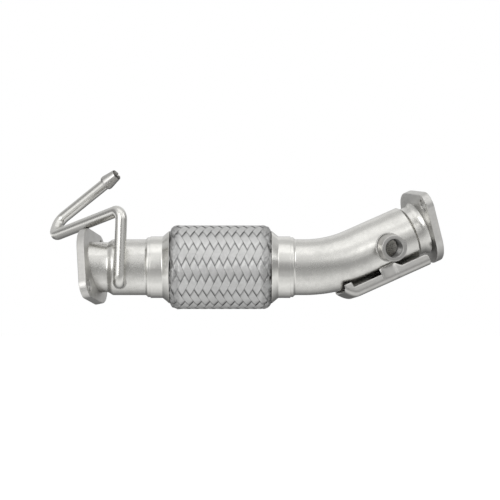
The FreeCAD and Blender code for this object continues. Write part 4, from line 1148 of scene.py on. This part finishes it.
class EXHAUST_OT_pressure_pipe(bpy.types.Operator):
    """Makes the thin bent pressure pipe and its hose nipple"""

    bl_idname = "exhaust.pressure_pipe"
    bl_label = "Pressure pipe"

    def execute(self, context):
        dress(pressure_pipe(), "drawn_stainless_line", "pressure_pipe")
        nipple = lathe("hose_nipple", nipple_frame(), soften(NIPPLE, 0.3), 72)
        dress(smooth(nipple, 40), "turned_steel", "hose_barb")
        return {"FINISHED"}


class EXHAUST_OT_boss(bpy.types.Operator):
    """Makes the sensor boss and the support bracket"""

    bl_idname = "exhaust.boss"
    bl_label = "Sensor boss and bracket"

    def execute(self, context):
        dress(sensor_boss(), "turned_steel", "sensor_boss")
        dress(bracket(), "pressed_bracket_sheet", "support_bracket")
        return {"FINISHED"}


class EXHAUST_OT_welds(bpy.types.Operator):
    """Lays the weld beads"""

    bl_idname = "exhaust.welds"
    bl_label = "Welds"

    def execute(self, context):
        tree = bead_tree()
        for name, lines, closed, size, step, seed, node in (
                ("sensor_boss_bead", [boss_foot()], True, 0.95, 0.7, 3, "sensor_boss_weld"),
                ("pressure_pipe_bead", [line_foot()], True, 0.8, 0.6, 5, "pressure_pipe_weld"),
                ("support_bracket_beads", tab_lines(), False, 0.8, 0.6, 7, "support_bracket_welds"),
                ("inlet_flange_bead", [recess_ring("inlet")], True, 1.0, 0.8, 11,
                 "inlet_flange_weld"),
                ("outlet_flange_bead", [recess_ring("outlet")], True, 1.0, 0.8, 13,
                 "outlet_flange_weld")):
            dress(bead(name, lines, closed, size, step, seed, tree), "brushed_weld_bead",
                  node)
        return {"FINISHED"}


# Stage

FLOOR_HEIGHT = -260.0   # millimetres, as is the next
FLOOR_HALF = 6000.0
FLOOR_COLOUR = "#D9D9D9"
FLOOR_GLOW = 0.7
ROOM_LIGHT = 0.5
# What metal sees: grey levels of light and shade painted on the floor by distance behind the
# object, and by the direction's share along +Y in the room
FLOOR_LEVELS = ((-3.0, 0.4), (3.0, 0.9), (-1.4, 0.45), (-0.5, 0.62), (-0.24, 0.95), (-0.1, 1.15),
                (0.0, 0.95), (0.12, 0.56), (0.25, 0.28), (0.5, 0.16), (1.0, 0.7))
ROOM_LEVELS = ((-1.0, 0.4), (1.0, 0.7), (-0.97, 0.5), (-0.88, 0.85), (-0.7, 1.05), (-0.4, 1.05),
               (0.0, 0.86), (0.3, 0.8), (0.8, 0.8))
# Bright panels that only metal sees, and shares that dim them, painted on where they lie on the
# floor: name, axis, the range of the soft change and its two ends
FLOOR_PANELS = (("left", "X", (-1.1, -0.4), (0.8, 0.0)),)
ROOM_PANELS = (
    ("walls", "sideways", (0.62, 0.97), (1.0, 0.4)), ("left", "X", (-0.36, -0.16), (3.0, 0.0)),
    ("right", "X", (0.12, 0.34), (0.0, 1.2)), ("high", "Z", (0.2, 0.5), (0.0, 1.0)),
    ("front", "Y", (-0.85, -0.6), (1.0, 0.0)),
)
# Name, place, width, depth and watts
LAMPS = (
    ("lamp_above", (0.1, -0.35, 1.25), 1.3, 0.9, 1.6),
    ("lamp_behind", (0.25, 1.1, 0.9), 1.2, 0.8, 0.8),
    ("lamp_left", (-1.1, -0.7, 0.45), 0.7, 0.9, 1.2),
    ("lamp_right", (1.2, -0.4, 0.75), 0.6, 0.8, 2.0),
)
CAMERA_DISTANCE = 2.6
PHOTO_WIDTH = 0.483
PHOTO_CENTER = (0.1561, 0.0166)


def level_ramp(tree, source, low, high, levels):
    """Grey levels spread over a range of numbers, blended softly."""
    share = add_node(tree, "ShaderNodeMapRange", {"Value": source, "From Min": low,
                                                  "From Max": high})
    ramp = add_node(tree, "ShaderNodeValToRGB", {"Fac": share})
    ramp.color_ramp.interpolation = "EASE"
    stops = ramp.color_ramp.elements
    for index, (place, level) in enumerate(levels):
        stop = stops[index] if index < 2 else stops.new(1.0)
        stop.position = (place - low) / (high - low)
        stop.color = (level, level, level, 1.0)
    return ramp


def light_paths(tree, coordinate):
    """What sends a ray, the camera or a shiny surface, and the parts of a coordinate."""
    path = add_node(tree, "ShaderNodeLightPath").outputs
    place = add_node(tree, "ShaderNodeTexCoord").outputs[coordinate]
    parts = add_node(tree, "ShaderNodeSeparateXYZ", {0: place}).outputs
    known = {part.name: part for part in parts}
    known.update(camera=path["Is Camera Ray"], glossy=path["Is Glossy Ray"],
                 clear=path["Is Transmission Ray"])
    return reckon(tree, known, "shine = MAXIMUM glossy clear")


def add_panels(tree, known, panels):
    """Adds a soft change of level for each panel."""
    for name, axis, (low, high), (start, end) in panels:
        known[name] = add_node(tree, "ShaderNodeMapRange", {
            "Value": known[axis], "From Min": low, "From Max": high, "To Min": start,
            "To Max": end}, interpolation_type="SMOOTHSTEP")


def backdrop_material():
    """Matt pale floor: white to the camera; metal sees painted light, bright in front and dimmer
    beyond.
    """
    material = bpy.data.materials.new("matt_pale_floor")
    tree = emptied(material)
    known = light_paths(tree, "Object")
    add_panels(tree, known, FLOOR_PANELS)
    known.update(across=level_ramp(tree, known["Y"], -3.0, 3.0, FLOOR_LEVELS), glow=FLOOR_GLOW)
    reckon(tree, known, """
        mirrored = across + left
        white = camera * glow
    """)
    matt = add_node(tree, "ShaderNodeBsdfDiffuse", {"Color": (*linear(FLOOR_COLOUR), 1.0)})
    light, image = (add_node(tree, "ShaderNodeEmission", {"Strength": known[name]})
                    for name in ("white", "mirrored"))
    both = add_node(tree, "ShaderNodeAddShader", {0: matt, 1: light})
    final = add_node(tree, "ShaderNodeMixShader", {0: known["shine"], 1: both, 2: image})
    add_node(tree, "ShaderNodeOutputMaterial", {"Surface": final})
    return material


def studio_world():
    """A white room: metal sees it brightest above and in front, and dimmer to the camera."""
    world = bpy.data.worlds.new("white_studio")
    bpy.context.scene.world = world
    tree = emptied(world)
    known = light_paths(tree, "Generated")
    reckon(tree, known, "sideways = ABSOLUTE X")
    add_panels(tree, known, ROOM_PANELS)
    known["room"] = level_ramp(tree, known["Y"], -1.0, 1.0, ROOM_LEVELS)
    reckon(tree, known, """
        beside = right * high + left
        panels = beside * front + room
        mirrored = panels * walls
    """)
    soft = add_node(tree, "ShaderNodeMix", {0: known["shine"], 2: ROOM_LIGHT, 3: known["mirrored"]})
    level = add_node(tree, "ShaderNodeMix", {0: known["camera"], 2: soft, 3: 1.0})
    sky = add_node(tree, "ShaderNodeBackground", {"Color": (1.0, 1.0, 1.0, 1.0),
                                                  "Strength": level})
    add_node(tree, "ShaderNodeOutputWorld", {"Surface": sky})


def soft_lamp(name, place, width, depth, watts):
    """A large square lamp that faces the middle of the picture."""
    lamp = bpy.data.lights.new(name, "AREA")
    lamp.shape = "RECTANGLE"
    lamp.size, lamp.size_y = width, depth
    lamp.energy = watts
    holder = add_object(name, lamp)
    holder.location = place
    holder.rotation_mode = "QUATERNION"
    ahead = Vector((PHOTO_CENTER[0], 0.0, PHOTO_CENTER[1])) - Vector(place)
    holder.rotation_quaternion = ahead.to_track_quat("-Z", "Y")


class EXHAUST_OT_stage(bpy.types.Operator):
    """Sets up the pale floor, the lamps and the camera"""

    bl_idname = "exhaust.stage"
    bl_label = "Stage"

    def execute(self, context):
        scene = context.scene
        scene.view_settings.view_transform = "Standard"
        corners = [(x * FLOOR_HALF, y * FLOOR_HALF, FLOOR_HEIGHT)
                   for x, y in ((-1, -1), (1, -1), (1, 1), (-1, 1))]
        floor = new_object("floor", corners, [(0, 1, 2, 3)])
        floor.data.materials.append(backdrop_material())
        for lamp in LAMPS:
            soft_lamp(*lamp)
        studio_world()
        lens = bpy.data.cameras.new("camera")
        lens.sensor_width = 36.0
        lens.lens = lens.sensor_width * CAMERA_DISTANCE / PHOTO_WIDTH
        lens.clip_end = 50.0
        camera = add_object("camera", lens)
        camera.location = (PHOTO_CENTER[0], -CAMERA_DISTANCE, PHOTO_CENTER[1])
        camera.rotation_euler = (math.pi / 2, 0.0, 0.0)
        scene.camera = camera
        return {"FINISHED"}


class EXHAUST_PT_panel(bpy.types.Panel):
    """Lists the pieces of the exhaust pipe"""

    bl_idname = "EXHAUST_PT_panel"
    bl_label = "Exhaust pipe"
    bl_space_type = "VIEW_3D"
    bl_region_type = "UI"
    bl_category = "Exhaust"

    def draw(self, context):
        for operator in OPERATORS:
            self.layout.operator(operator.bl_idname)
        for group, kind in GROUPS.items():
            box = self.layout.box()
            for name in kind.__annotations__:
                box.prop(getattr(context.scene, group), name)


OPERATORS = (
    EXHAUST_OT_flanges, EXHAUST_OT_pipes, EXHAUST_OT_collars, EXHAUST_OT_flex,
    EXHAUST_OT_pressure_pipe, EXHAUST_OT_boss, EXHAUST_OT_welds, EXHAUST_OT_stage,
)
GROUPS = {
    "exhaust_pipes": PipeSizes, "exhaust_flex": FlexSizes, "exhaust_fittings": FittingSizes,
    "exhaust_finishes": Finishes,
}


def register():
    """Adds the classes to Blender and their settings to its scenes."""
    for kind in (*GROUPS.values(), *OPERATORS, EXHAUST_PT_panel):
        bpy.utils.register_class(kind)
    for name, kind in GROUPS.items():
        setattr(bpy.types.Scene, name, bpy.props.PointerProperty(type=kind))


def unregister():
    """Takes the settings and the classes away again."""
    for name in GROUPS:
        delattr(bpy.types.Scene, name)
    for kind in (EXHAUST_PT_panel, *reversed(OPERATORS), *GROUPS.values()):
        bpy.utils.unregister_class(kind)


def main():
    """Makes every piece and the stage."""
    register()
    for name in ("flanges", "pipes", "collars", "flex", "pressure_pipe", "boss", "welds", "stage"):
        getattr(bpy.ops.exhaust, name)()


if __name__ == "__main__":
    main()
